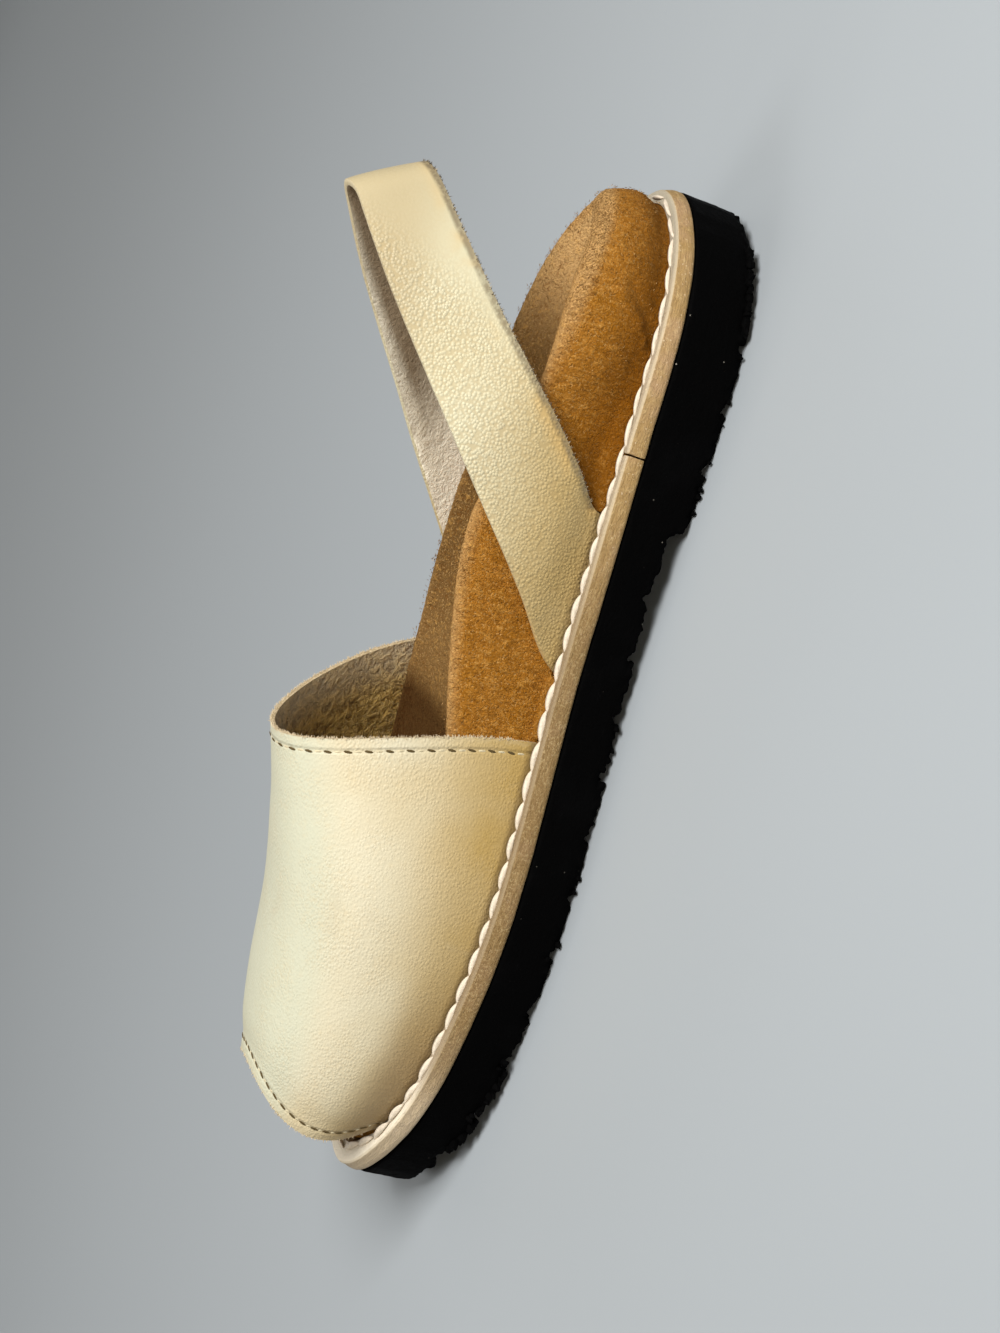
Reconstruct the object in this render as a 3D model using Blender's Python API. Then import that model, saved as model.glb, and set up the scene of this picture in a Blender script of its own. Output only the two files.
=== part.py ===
"""Slingback sandal for the right foot, about EU 38, in metres, +Z up.

X runs from heel to toe, +Y is the inner (medial) side, and the shoe stands on Z = 0. The origin is under
the middle of the sole. From the ground up: a sole cut from tyre-tread rubber, a leather welt strip laid
round its edge, a suede-covered anatomical footbed inside the strip, and two pieces of leather whose lower
edges are caught between strip and footbed: the vamp over the forefoot and the strap round the heel.
"""

from collections import namedtuple

import bmesh
import bpy
import numpy as np

MM = 0.001

# The last: overall sizes in millimetres.
SOLE_LENGTH = 251.2
TOE_TIP_Y = 9.0
SIDE_STEPS = 46

# Rubber sole.
HEEL_LENGTH = 76.0
BREAST_SLOPE = 2.4
HEEL_BACK_CHAMFER = 3.2
EDGE_CHAMFER = 0.9
HEEL_LUG_PITCH = 15.0
HEEL_LUGS_FROM = 15.5
FRONT_LUG_PITCH = 14.5
FRONT_LUGS_FROM = 92.5
GROOVE_WIDTH = 1.7
GROOVE_DEPTH = 2.1
CENTRE_RIB = 2.4
LUG_WEAR_LENGTH = 5.6
LUG_WEAR_DEPTH = 1.0
# Worn end of a lug, from its flat to the slit: back is the share of the worn length still to go.
LUG_WEAR = [(1.0, -0.05), (0.62, 0.16), (0.30, 0.5), (0.08, 0.9), (0.0, 1.2)]
CUT_REACH = 70.0

# Welt strip.
WELT_WIDTH = 4.4
TOE_WELT_WIDTH = 6.4
WELT_HEIGHT = 4.6
WELT_ROUND = 0.5
WELT_JOINT_X = 62.9
WELT_JOINT_GAP = 0.4

# Leather and the clearances between neighbours.
CLEARANCE = 0.3
VAMP_LEATHER = 1.9
STRAP_LEATHER = 2.6
STRAP_CROWN = 0.5
TUCK_INSET = WELT_WIDTH + CLEARANCE + 0.13
FOOTBED_INSET = TUCK_INSET + VAMP_LEATHER + CLEARANCE + 0.15
HEEL_INSET = WELT_WIDTH + CLEARANCE + 0.1

# Sole outline: half widths from the centre line at stations along the length.
Width = namedtuple("Width", "x medial lateral")
WIDTHS = [
    Width(10, 17.8, 17.6),
    Width(30, 27.6, 27.2),
    Width(60, 30.4, 30.2),
    Width(90, 31.4, 32.9),
    Width(120, 31.9, 37.2),
    Width(150, 36.0, 43.6),
    Width(180, 38.9, 46.0),
    Width(205, 37.0, 41.8),
    Width(225, 32.6, 30.9),
    Width(240, 23.6, 15.0),
]

# Side view of the sole: seat is the rubber's upper face, tread its lower face ahead of the heel.
Level = namedtuple("Level", "x seat tread")
LEVELS = [
    Level(0, 17.3, 4.6),
    Level(60, 16.5, 4.6),
    Level(85, 15.6, 4.4),
    Level(120, 14.1, 1.5),
    Level(150, 13.4, 0.0),
    Level(192, 13.6, 0.0),
    Level(225, 15.4, 2.2),
    Level(251.2, 18.0, 5.6),
]

# Footbed: height of the rim on each side and of the hollow along the middle.
Bed = namedtuple("Bed", "x medial_rim lateral_rim hollow")
BED = [
    Bed(0, 35.8, 35.8, 33.5),
    Bed(12, 39.0, 37.0, 31.6),
    Bed(30, 42.6, 38.6, 31.0),
    Bed(60, 44.2, 39.4, 31.6),
    Bed(90, 49.6, 39.4, 32.8),
    Bed(120, 43.4, 35.8, 31.6),
    Bed(145, 36.6, 31.6, 29.2),
    Bed(175, 29.6, 28.4, 26.6),
    Bed(210, 27.0, 26.6, 24.8),
    Bed(235, 25.4, 25.4, 23.8),
    Bed(251, 25.0, 25.0, 24.2),
]

# Footbed wall from the seat up to the rim and over it. Share is the part of the way from just above the
# welt to the rim, inset is measured from the wall's foot, and swell is how far the heel part bellies out.
Wall = namedtuple("Wall", "share inset swell")
WALL = [
    Wall(0.00, 0.0, 0.0),
    Wall(0.20, 0.1, 0.8),
    Wall(0.44, 0.5, 1.3),
    Wall(0.66, 1.2, 1.5),
    Wall(0.84, 2.2, 1.5),
    Wall(0.96, 3.5, 1.4),
    Wall(1.00, 5.0, 1.2),
    Wall(0.965, 6.7, 0.8),
    Wall(0.88, 8.2, 0.4),
]

# Vamp from collar (s = 0) to toe rim (s = 1): where each section meets the sole on both sides, its crest,
# its fullness on each side and how far its middle height bows forward.
Vamp = namedtuple("Vamp", "s x_medial x_lateral x_crest y_crest z_crest full_medial full_lateral bow")
VAMP = [
    Vamp(0.00, 133.5, 120.5, 150.5, 4.0, 73.2, 2.5, 2.1, 0.0),
    Vamp(0.25, 159.0, 147.0, 169.5, 5.0, 66.5, 2.5, 2.1, 0.8),
    Vamp(0.50, 186.0, 174.5, 189.5, 5.5, 60.6, 2.4, 2.1, 2.0),
    Vamp(0.75, 212.0, 201.0, 210.5, 5.0, 56.9, 2.3, 2.2, 4.0),
    Vamp(0.90, 226.5, 215.5, 224.0, 4.5, 54.5, 2.3, 2.2, 6.0),
    Vamp(1.00, 235.6, 224.5, 233.2, 4.0, 51.9, 2.3, 2.2, 7.0),
]
VAMP_RISE = 1.4

# Heel strap from the sole (s = 0) to the middle of the back (s = 1): its heel-side (low) and toe-side (top)
# edges, seen from the side, and how far each lies from the centre line. Up to s = 0.07 it follows the sole.
Strap = namedtuple("Strap", "s x_low z_low y_low x_top z_top y_top")
STRAP = [
    Strap(0.00, 78.5, 16.6, 26.8, 118.5, 15.2, 27.4),
    Strap(0.07, 78.0, 22.2, 27.3, 115.6, 21.4, 27.8),
    Strap(0.17, 71.8, 28.2, 28.0, 105.0, 31.0, 28.3),
    Strap(0.30, 63.0, 36.6, 27.4, 91.0, 43.8, 28.0),
    Strap(0.44, 53.0, 46.8, 25.6, 75.5, 58.0, 26.0),
    Strap(0.58, 41.8, 57.5, 20.6, 60.0, 70.9, 20.9),
    Strap(0.73, 29.5, 68.2, 14.8, 43.5, 84.0, 14.6),
    Strap(0.87, 18.5, 76.7, 8.2, 29.6, 93.2, 8.0),
    Strap(0.95, 14.8, 79.7, 4.8, 25.0, 96.1, 4.8),
    Strap(1.00, 14.0, 80.2, 0.0, 24.0, 97.0, 0.0),
]
STRAP_LATERAL_DROP = 3.9


def along(rows, column, x):
    """Smooth value of a table's column at x, by cubic pieces whose slopes come from the neighbouring rows."""
    at = np.array([row[0] for row in rows], float)
    value = np.array([getattr(row, column) for row in rows], float)
    slope = np.gradient(value, at)
    x = np.clip(np.asarray(x, float), at[0], at[-1])
    i = np.clip(np.searchsorted(at, x) - 1, 0, len(at) - 2)
    step = at[i + 1] - at[i]
    u = (x - at[i]) / step
    return (
        (1 + 2 * u) * (1 - u) ** 2 * value[i]
        + u * (1 - u) ** 2 * step * slope[i]
        + u * u * (3 - 2 * u) * value[i + 1]
        + u * u * (u - 1) * step * slope[i + 1]
    )


def closed_curve(corners, samples):
    """Periodic cubic spline through the corners, at samples points evenly spread over its parameter."""
    corners = np.array(corners, float)
    n = len(corners)
    span = np.linalg.norm(np.roll(corners, -1, axis=0) - corners, axis=1)
    rise = (np.roll(corners, -1, axis=0) - corners) / span[:, None]
    system = np.zeros((n, n))
    for k in range(n):
        before = span[k - 1]
        after = span[k]
        system[k, k - 1] = after
        system[k, k] = 2 * (before + after)
        system[k, (k + 1) % n] = before
    right = 3 * (span[:, None] * np.roll(rise, 1, axis=0) + np.roll(span, 1)[:, None] * rise)
    slope = np.linalg.solve(system, right)
    knots = np.concatenate([[0], np.cumsum(span)])
    at = np.linspace(0, knots[-1], samples, endpoint=False)
    k = np.clip(np.searchsorted(knots, at, side="right") - 1, 0, n - 1)
    step = span[k][:, None]
    u = ((at - knots[k]) / span[k])[:, None]
    ahead = (k + 1) % n
    return (
        (1 + 2 * u) * (1 - u) ** 2 * corners[k]
        + u * (1 - u) ** 2 * step * slope[k]
        + u * u * (3 - 2 * u) * corners[ahead]
        + u * u * (u - 1) * step * slope[ahead]
    )


def outline_sides():
    """The medial and the lateral half of the outline, each from heel to toe, finely sampled."""
    corners = [(0.0, 0.0)]
    corners += [(row.x, row.medial) for row in WIDTHS]
    corners.append((SOLE_LENGTH, TOE_TIP_Y))
    corners += [(row.x, -row.lateral) for row in reversed(WIDTHS)]
    curve = closed_curve(corners, 2400)
    toe = int(np.argmax(curve[:, 0]))
    medial = curve[: toe + 1]
    lateral = np.concatenate([curve[:1], curve[: toe - 1 : -1]])
    return medial, lateral


def even(points, count):
    """The same path with count points at equal distances along it."""
    run = np.concatenate([[0], np.cumsum(np.linalg.norm(np.diff(points, axis=0), axis=1))])
    at = np.linspace(0, run[-1], count)
    return np.stack([np.interp(at, run, points[:, axis]) for axis in range(points.shape[1])], axis=1)


MEDIAL, LATERAL = outline_sides()
ORIGIN_X = (MEDIAL[:, 0].min() + MEDIAL[:, 0].max()) / 2
ORIGIN_Y = (MEDIAL[:, 1].max() + LATERAL[:, 1].min()) / 2


def ring(inset, steps=SIDE_STEPS):
    """Outline moved inwards, from the heel along the medial side to the toe and back on the lateral side."""
    loop = np.concatenate([even(MEDIAL, steps + 1), even(LATERAL, steps + 1)[-2:0:-1]])
    forward = np.roll(loop, -1, axis=0) - np.roll(loop, 1, axis=0)
    forward /= np.linalg.norm(forward, axis=1)[:, None]
    inward = np.stack([forward[:, 1], -forward[:, 0]], axis=1)
    inset = np.broadcast_to(inset, len(loop))[:, None]
    return loop + inward * inset


def side_point(side, x, inset):
    """Point of the inset outline on the medial (+1) or lateral (-1) side at the length x."""
    path = ring(inset, 160)
    half = path[:161] if side > 0 else np.concatenate([path[:1], path[:159:-1]])
    order = np.argsort(half[:, 0])
    return np.interp(x, half[order, 0], half[order, 1])


def welt_width(x):
    """The strip widens towards the tip of the toe, ahead of the vamp."""
    ahead = np.clip((np.asarray(x, float) - 238.0) / 10.0, 0, 1)
    return WELT_WIDTH + (TOE_WELT_WIDTH - WELT_WIDTH) * ahead * ahead * (3 - 2 * ahead)


def with_height(plan, z):
    return np.column_stack([plan, np.broadcast_to(z, len(plan))])


def new_object(name, verts, faces, color, roughness, smooth=True):
    """Mesh object with its own material; verts in millimetres from the back of the heel."""
    mesh = bpy.data.meshes.new(name)
    shifted = (np.array(verts, float) - (ORIGIN_X, ORIGIN_Y, 0.0)) * MM
    mesh.from_pydata([tuple(v) for v in shifted], [], faces)
    body = bmesh.new()
    body.from_mesh(mesh)
    bmesh.ops.remove_doubles(body, verts=body.verts, dist=0.01 * MM)
    bmesh.ops.recalc_face_normals(body, faces=body.faces)
    body.to_mesh(mesh)
    body.free()
    obj = bpy.data.objects.new(name, mesh)
    bpy.context.scene.collection.objects.link(obj)
    if smooth:
        mesh.shade_smooth()
        mesh.set_sharp_from_angle(angle=np.radians(40))
    material = bpy.data.materials.new(name)
    material.use_nodes = True
    shader = material.node_tree.nodes["Principled BSDF"]
    shader.inputs["Base Color"].default_value = (*color, 1.0)
    shader.inputs["Roughness"].default_value = roughness
    shader.inputs["Metallic"].default_value = 0.0
    mesh.materials.append(material)
    return obj


def bridge(first, second, closed=True):
    """Quads between two rows of vertex numbers of the same length."""
    last = len(first) if closed else len(first) - 1
    faces = []
    for i in range(last):
        j = (i + 1) % len(first)
        faces.append((first[i], first[j], second[j], second[i]))
    return faces


def numbered(rows):
    """All rows of points in one list, and the vertex numbers of each row."""
    starts = np.cumsum([0] + [len(row) for row in rows])
    return np.concatenate(rows), [list(range(a, b)) for a, b in zip(starts[:-1], starts[1:])]


def rungs(loop_numbers, verts, columns, height):
    """Fills a loop with a grid whose rungs run from the medial to the lateral side; height gives their z."""
    half = len(loop_numbers) // 2
    verts = [tuple(v) for v in verts]
    rows = []
    for k in range(1, half):
        a = loop_numbers[k]
        b = loop_numbers[-k]
        row = [a]
        for t in np.linspace(0, 1, columns + 1)[1:-1]:
            x = verts[a][0] * (1 - t) + verts[b][0] * t
            y = verts[a][1] * (1 - t) + verts[b][1] * t
            verts.append((x, y, height(x, y, t, verts[a][2], verts[b][2])))
            row.append(len(verts) - 1)
        rows.append(row + [b])
    faces = []
    for before, after in zip(rows[:-1], rows[1:]):
        faces += bridge(before, after, closed=False)
    for end, row in ((loop_numbers[0], rows[0]), (loop_numbers[half], rows[-1])):
        faces += [(end, row[i], row[i + 1]) for i in range(columns)]
    return verts, faces


def seat_z(x):
    return along(LEVELS, "seat", x)


def prism_cutter(name, prisms):
    """Hidden cutter of prisms that lie across the sole, each a side profile and its two y ends."""
    body = bmesh.new()
    for profile, ends in prisms:
        sides = []
        for y in ends:
            points = [((x - ORIGIN_X) * MM, (y - ORIGIN_Y) * MM, z * MM) for x, z in profile]
            sides.append([body.verts.new(point) for point in points])
        body.faces.new(sides[0])
        body.faces.new(reversed(sides[1]))
        for i in range(len(profile)):
            j = (i + 1) % len(profile)
            body.faces.new((sides[0][i], sides[1][i], sides[1][j], sides[0][j]))
    return hidden_cutter(name, body)


def hidden_cutter(name, body):
    mesh = bpy.data.meshes.new(name)
    bmesh.ops.recalc_face_normals(body, faces=body.faces)
    body.to_mesh(mesh)
    body.free()
    cutter = bpy.data.objects.new(name, mesh)
    bpy.context.scene.collection.objects.link(cutter)
    cutter.hide_render = True
    cutter.display_type = "WIRE"
    return cutter


def cut(obj, cutter):
    modifier = obj.modifiers.new(cutter.name, "BOOLEAN")
    modifier.operation = "DIFFERENCE"
    modifier.object = cutter


def tread_cutter():
    """Everything below the tread ahead of the heel, up to the line of waist, ball and toe spring."""
    xs = np.linspace(HEEL_LENGTH + BREAST_SLOPE, SOLE_LENGTH + 6, 34)
    top = [(x, along(LEVELS, "tread", x)) for x in xs]
    corner = [(-2.6, -6.0), (-2.6, -0.05), (-1.0, 0.35), (0.0, 1.1)]
    breast = [(HEEL_LENGTH + x, z) for x, z in corner]
    profile = breast + top + [(SOLE_LENGTH + 6, -6.0)]
    return prism_cutter("tread_cutter", [(profile, (-CUT_REACH, CUT_REACH))])


def lug_profile(x, tread):
    """Slit at x with the worn, rounded end of the lug behind it."""
    worn = [(x - back * LUG_WEAR_LENGTH, tread + up * LUG_WEAR_DEPTH) for back, up in LUG_WEAR]
    slit = [(x, tread + GROOVE_DEPTH), (x + GROOVE_WIDTH, tread + GROOVE_DEPTH)]
    return worn + slit + [(x + GROOVE_WIDTH, -6.0), (x - LUG_WEAR_LENGTH, -6.0)]


def lug_prisms():
    """Transverse slits across each half of the sole, staggered by half a lug between the halves."""
    prisms = []
    for side in (1, -1):
        stagger = 0.0 if side > 0 else 0.5
        ends = (CENTRE_RIB * side, CUT_REACH * side)
        for x in np.arange(HEEL_LUGS_FROM + stagger * HEEL_LUG_PITCH, HEEL_LENGTH - 6, HEEL_LUG_PITCH):
            prisms.append((lug_profile(x, 0.0), ends))
        for x in np.arange(FRONT_LUGS_FROM + stagger * FRONT_LUG_PITCH, SOLE_LENGTH - 8, FRONT_LUG_PITCH):
            prisms.append((lug_profile(x, along(LEVELS, "tread", x)), ends))
    return prisms


def build_outsole():
    back = np.clip(1 - ring(0.0)[:, 0] / 40.0, 0, 1)
    lower = EDGE_CHAMFER + (HEEL_BACK_CHAMFER - EDGE_CHAMFER) * back
    plan = ring(0.15)
    rows = [
        with_height(ring(0.15 + lower), 0.0),
        with_height(plan, lower),
        with_height(plan, seat_z(plan[:, 0]) - 0.35),
        with_height(ring(0.5), seat_z(ring(0.5)[:, 0])),
    ]
    verts, numbers = numbered(rows)
    faces = []
    for below, above in zip(numbers[:-1], numbers[1:]):
        faces += bridge(below, above)
    verts, bottom = rungs(numbers[0], verts, 2, lambda x, y, t, a, b: 0.0)
    verts, top = rungs(numbers[-1], verts, 4, lambda x, y, t, a, b: seat_z(x))
    black = (0.012, 0.013, 0.015)
    outsole = new_object("outsole", verts, faces + bottom + top, black, 0.72, smooth=False)
    cut(outsole, tread_cutter())
    cut(outsole, prism_cutter("lug_cutter", lug_prisms()))
    return outsole


def build_welt():
    """Strip round the sole edge, butted at the joint on the medial side of the heel."""
    outer = ring(0.0)
    width = welt_width(outer[:, 0])
    inner = ring(width)
    profile = [
        (WELT_ROUND, 0.0),
        (0.0, WELT_ROUND),
        (0.0, WELT_HEIGHT - WELT_ROUND),
        (WELT_ROUND, WELT_HEIGHT),
        (1.0, WELT_HEIGHT),
        (1.0, 0.0),
    ]
    start = int(np.argmin(np.abs(outer[: SIDE_STEPS, 0] - WELT_JOINT_X)))
    shift = WELT_JOINT_X - outer[start][0]
    order = [(start + k) % len(outer) for k in range(len(outer))] + [start]
    rows = []
    for place, k in enumerate(order):
        point = outer[k]
        across = (inner[k] - outer[k]) / width[k]
        nudge = 0.0
        if place == 0:
            nudge = shift + WELT_JOINT_GAP / 2
        if place == len(order) - 1:
            nudge = shift - WELT_JOINT_GAP / 2
        row = []
        for inset, up in profile:
            x, y = point + across * (width[k] if inset == 1.0 else inset)
            row.append((x + nudge, y, seat_z(x + nudge) + CLEARANCE + up))
        rows.append(np.array(row))
    verts, numbers = numbered(rows)
    faces = []
    for before, after in zip(numbers[:-1], numbers[1:]):
        faces += bridge(before, after)
    faces += [tuple(numbers[0]), tuple(reversed(numbers[-1]))]
    return new_object("welt", verts, faces, (0.62, 0.44, 0.25), 0.6)


def build_footbed():
    x = ring(0.0)[:, 0]
    heel = np.clip((62.0 - x) / 18.0, 0, 1)
    foot = FOOTBED_INSET + (HEEL_INSET - FOOTBED_INSET) * heel + (welt_width(x) - WELT_WIDTH) * 0.3
    plan = ring(foot)
    medial = np.arange(len(plan)) <= SIDE_STEPS
    rim = np.where(
        medial,
        along(BED, "medial_rim", plan[:, 0]),
        along(BED, "lateral_rim", plan[:, 0]),
    )
    floor = seat_z(plan[:, 0]) + CLEARANCE
    rows = [with_height(ring(foot + 0.6), floor), with_height(plan, floor + 0.6)]
    lip = floor + WELT_HEIGHT + 0.5
    for wall in WALL:
        place = ring(foot + wall.inset - wall.swell * heel)
        rows.append(with_height(place, lip + (rim - lip) * wall.share))
    verts, numbers = numbered(rows)
    faces = []
    for below, above in zip(numbers[:-1], numbers[1:]):
        faces += bridge(below, above)

    def top(x, y, t, left, right):
        edge = left * (1 - t) + right * t
        cup = min(1.0, 1.55 * np.sin(np.pi * t) ** 0.9)
        ends = min(1.0, max(0.0, (x - 13.0) / 16.0)) * min(1.0, max(0.0, (238.0 - x) / 16.0))
        return edge + (along(BED, "hollow", x) - edge) * cup * (ends * (2 - ends))

    verts, bottom = rungs(numbers[0], verts, 2, lambda x, y, t, a, b: seat_z(x) + CLEARANCE)
    verts, upper = rungs(numbers[-1], verts, 8, top)
    return new_object("footbed", verts, faces + bottom + upper, (0.42, 0.21, 0.07), 0.95)


def shell(name, outer, leather, color, roughness):
    """Closed sheet from a grid of points: the inner face lies leather millimetres behind the outer one."""
    along_rows = np.gradient(outer, axis=0)
    across = np.gradient(outer, axis=1)
    normal = np.cross(along_rows, across)
    normal /= np.linalg.norm(normal, axis=2)[:, :, None]
    inner = outer + normal * np.broadcast_to(leather, outer.shape[:2])[:, :, None]
    rows, columns = outer.shape[:2]
    verts = np.concatenate([outer.reshape(-1, 3), inner.reshape(-1, 3)])
    shift = rows * columns

    def number(i, j):
        return i * columns + j

    faces = []
    for i in range(rows - 1):
        for j in range(columns - 1):
            quad = (number(i, j), number(i, j + 1), number(i + 1, j + 1), number(i + 1, j))
            faces.append(quad)
            faces.append(tuple(shift + n for n in reversed(quad)))
    edge = [number(0, j) for j in range(columns)]
    edge += [number(i, columns - 1) for i in range(1, rows)]
    edge += [number(rows - 1, j) for j in range(columns - 2, -1, -1)]
    edge += [number(i, 0) for i in range(rows - 2, 0, -1)]
    faces += bridge(edge, [shift + n for n in edge])
    return new_object(name, verts, faces, color, roughness)


def build_vamp():
    """Sections from collar to toe rim, each up the medial side from the tuck and down the lateral side."""
    lengthwise = 25
    around = 15
    grid = []
    for s in np.linspace(0, 1, lengthwise):
        size = {column: float(along(VAMP, column, s)) for column in Vamp._fields[1:]}
        row = []
        for side, x_base, full in (
            (1, size["x_medial"], size["full_medial"]),
            (-1, size["x_lateral"], size["full_lateral"]),
        ):
            y_base = side_point(side, x_base, TUCK_INSET)
            z_tuck = seat_z(x_base) + CLEARANCE + 0.3
            z_base = seat_z(x_base) + WELT_HEIGHT + 1.0
            half = [(x_base, y_base, z_tuck), (x_base, y_base, (z_tuck + z_base) / 2)]
            for angle in np.linspace(0, np.pi / 2, around):
                out = max(np.cos(angle), 0.0) ** (2 / full)
                up = np.sin(angle) ** (2 / full)
                x = x_base + (size["x_crest"] - x_base) * up**VAMP_RISE + size["bow"] * 4 * up * (1 - up)
                y = size["y_crest"] + (y_base - size["y_crest"]) * out
                half.append((x, y, z_base + (size["z_crest"] - z_base) * up))
            row.append(np.array(half))
        grid.append(np.concatenate([row[0], row[1][-2::-1]]))
    grid = np.array(grid)
    for k in range(len(grid)):
        grid[k, 2:-2] = even(grid[k, 2:-2], grid.shape[1] - 4)
    return shell("vamp", grid, VAMP_LEATHER, (0.80, 0.66, 0.42), 0.55)


def build_heel_strap():
    """One strip: up the medial side, round behind the heel and down the lateral side."""
    inset = WELT_WIDTH + CLEARANCE
    across = 6
    near_side = STRAP[:-1]
    far_side = [row._replace(s=2 - row.s, y_low=-row.y_low, y_top=-row.y_top) for row in reversed(near_side)]
    loop = STRAP + far_side
    grid = []
    leather = []
    for s in np.linspace(0, 2, 45):
        side = 1 if s <= 1 else -1
        near = min(s, 2 - s)
        size = {column: float(along(loop, column, s)) for column in Strap._fields[1:]}
        free = np.clip((near - 0.07) / 0.10, 0, 1)
        free = free * free * (3 - 2 * free)
        low = np.clip((0.45 - near) / 0.35, 0, 1)
        drop = 0.0 if side > 0 else STRAP_LATERAL_DROP * np.sin(np.pi * near) ** 1.5
        row = []
        for t in np.linspace(0, 1, across):
            x = size["x_low"] * (1 - t) + size["x_top"] * t
            y = size["y_low"] * (1 - t) + size["y_top"] * t
            z = size["z_low"] * (1 - t) + size["z_top"] * t
            crown = STRAP_CROWN * (1 - (2 * t - 1) ** 2) * free
            turn = np.clip(y / 14.0, -1, 1)
            if side < 0:
                y -= low * (0.8 + 4.2 * t)
            y += crown * turn
            foot = side_point(side, x, inset)
            row.append((x - crown * (1 - abs(turn)), foot * (1 - free) + y * free, z - drop))
        grid.append(row)
        leather.append([VAMP_LEATHER + (STRAP_LEATHER - VAMP_LEATHER) * free] * across)
    return shell("heel_strap", np.array(grid), -np.array(leather), (0.82, 0.69, 0.46), 0.55)


def main():
    for obj in list(bpy.data.objects):
        bpy.data.objects.remove(obj, do_unlink=True)
    build_outsole()
    build_welt()
    build_footbed()
    build_vamp()
    build_heel_strap()


main()
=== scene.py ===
"""Finishes a packed slingback sandal for the right foot: leathers, suede, stitches, tread and a plain studio.

X runs from heel to toe, +Y is the inner side of the foot, and the sandal stands on Z = 0. Sizes are in metres,
and those given to length, ramp, clouds, cloud, cells, pushed and the table of folds are in millimetres.
"""

import math
import random

import bpy
import numpy as np
from mathutils import Matrix, Vector, noise
from mathutils.bvhtree import BVHTree
from mathutils.kdtree import KDTree


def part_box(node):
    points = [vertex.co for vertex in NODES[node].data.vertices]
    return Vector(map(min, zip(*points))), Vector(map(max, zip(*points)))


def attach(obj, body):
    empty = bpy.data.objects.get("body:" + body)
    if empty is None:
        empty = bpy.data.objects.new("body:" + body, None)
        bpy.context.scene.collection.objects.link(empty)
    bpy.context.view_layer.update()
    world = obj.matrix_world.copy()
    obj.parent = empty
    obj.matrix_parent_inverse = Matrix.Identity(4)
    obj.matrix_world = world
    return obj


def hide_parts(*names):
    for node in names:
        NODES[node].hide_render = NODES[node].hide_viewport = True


bl_info = {
    "name": "Slingback Sandal",
    "version": (1, 0, 0),
    "blender": (4, 5, 0),
    "location": "3D View > Sidebar > Sandal",
    "description": "Leathers, suede, stitching and tread for a packed slingback sandal",
    "category": "Object",
}

MM = 0.001
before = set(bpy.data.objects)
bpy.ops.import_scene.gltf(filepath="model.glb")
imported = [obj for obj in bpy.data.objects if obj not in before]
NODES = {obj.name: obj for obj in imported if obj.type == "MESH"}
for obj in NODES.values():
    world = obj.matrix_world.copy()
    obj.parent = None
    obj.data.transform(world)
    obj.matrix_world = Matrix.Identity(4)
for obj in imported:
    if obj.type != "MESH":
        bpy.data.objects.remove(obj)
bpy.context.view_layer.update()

# Faces of a piece of leather, by material slot.
GRAIN, FLESH, CUT = 0, 1, 2

# How many faces the rubber keeps, and how many there are of each small thing.
RUBBER_FACES = 90000
CRUMBS = 260
TUFTS, FIBRES_PER_TUFT = 1900, 12
COLLAR_FIBRES, TOE_FIBRES, STRAP_FIBRES = 900, 200, 700

WELT_HIGH = 4.6 * MM
LEVEL = [1, 1, 0]
UP = Vector((0, 0, 1))


def length(name, description, size):
    return bpy.props.FloatProperty(name=name, description=description, default=size * MM, unit="LENGTH")


def power(name, description, watts):
    return bpy.props.FloatProperty(name=name, description=description, default=watts, unit="POWER")


def ink(name, description, colour):
    return bpy.props.FloatVectorProperty(
        name=name, description=description, default=colour, size=3, subtype="COLOR"
    )


class SandalSizes(bpy.types.PropertyGroup):
    """Sizes of the stitching and of the surface's relief."""

    welt_pitch: length("Welt stitch pitch", "Distance from one welt stitch to the next", 7.2)
    welt_thread: length("Welt thread width", "Width of a plump welt stitch", 2.5)
    collar_pitch: length("Collar stitch pitch", "Distance between needle holes along the collar", 4.9)
    toe_pitch: length("Toe stitch pitch", "Distance between needle holes along the toe", 3.1)
    fine_margin: length("Fine stitch margin", "Distance of the fine stitches from the vamp's cut edge", 2.9)
    fine_thread: length("Fine thread width", "Width of the thread along the collar and the toe", 0.75)
    fibre: length("Edge fibre length", "Length of the loose fibres on the cut edges of the leather", 0.75)
    rubber_voxel: length("Rubber detail", "Size of the smallest relief in the outsole", 0.55)


class SandalColours(bpy.types.PropertyGroup):
    """Base colours of the finishes, scene linear."""

    cream: ink("Cream", "Grain side of the vamp leather", (0.61, 0.57, 0.43))
    # The warm cream is laid on real warmer patches of the leather and also as painted warm shade near the welt.
    cream_warm: ink("Warm cream", "Warmer patches of the vamp leather", (0.49, 0.335, 0.10))
    strap: ink("Strap", "Grain side of the heel strap", (0.61, 0.575, 0.41))
    smudge: ink("Smudge", "Grey handling marks on the cream leather", (0.48, 0.43, 0.31))
    flesh: ink("Flesh side", "Fibrous inner side of the leather", (0.68, 0.46, 0.14))
    suede: ink("Suede", "Brushed suede on the footbed's wall", (0.36, 0.148, 0.017))
    suede_pale: ink("Pale suede", "Suede where the nap lies the other way", (0.62, 0.33, 0.08))
    welt: ink("Welt", "Natural leather of the welt strip", (0.35, 0.225, 0.085))
    thread: ink("Thread", "Waxed off-white thread", (0.72, 0.64, 0.53))
    rubber: ink("Rubber", "Black tyre-tread rubber", (0.0010, 0.0010, 0.0011))


class StudioSettings(bpy.types.PropertyGroup):
    """The floor, the lights and the camera."""

    floor: ink("Floor", "Colour of the plain floor", (0.33, 0.365, 0.40))
    key_power: power("Key light", "Power of the large soft light overhead", 14.8)
    fill_power: power("Fill light", "Power of the soft light on the inner side", 6.0)
    lens: bpy.props.FloatProperty(
        name="Lens", description="Focal length on a 36 mm sensor", default=69.4, unit="CAMERA"
    )


# ---------------------------------------------------------------------------------------------- shader maths


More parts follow.
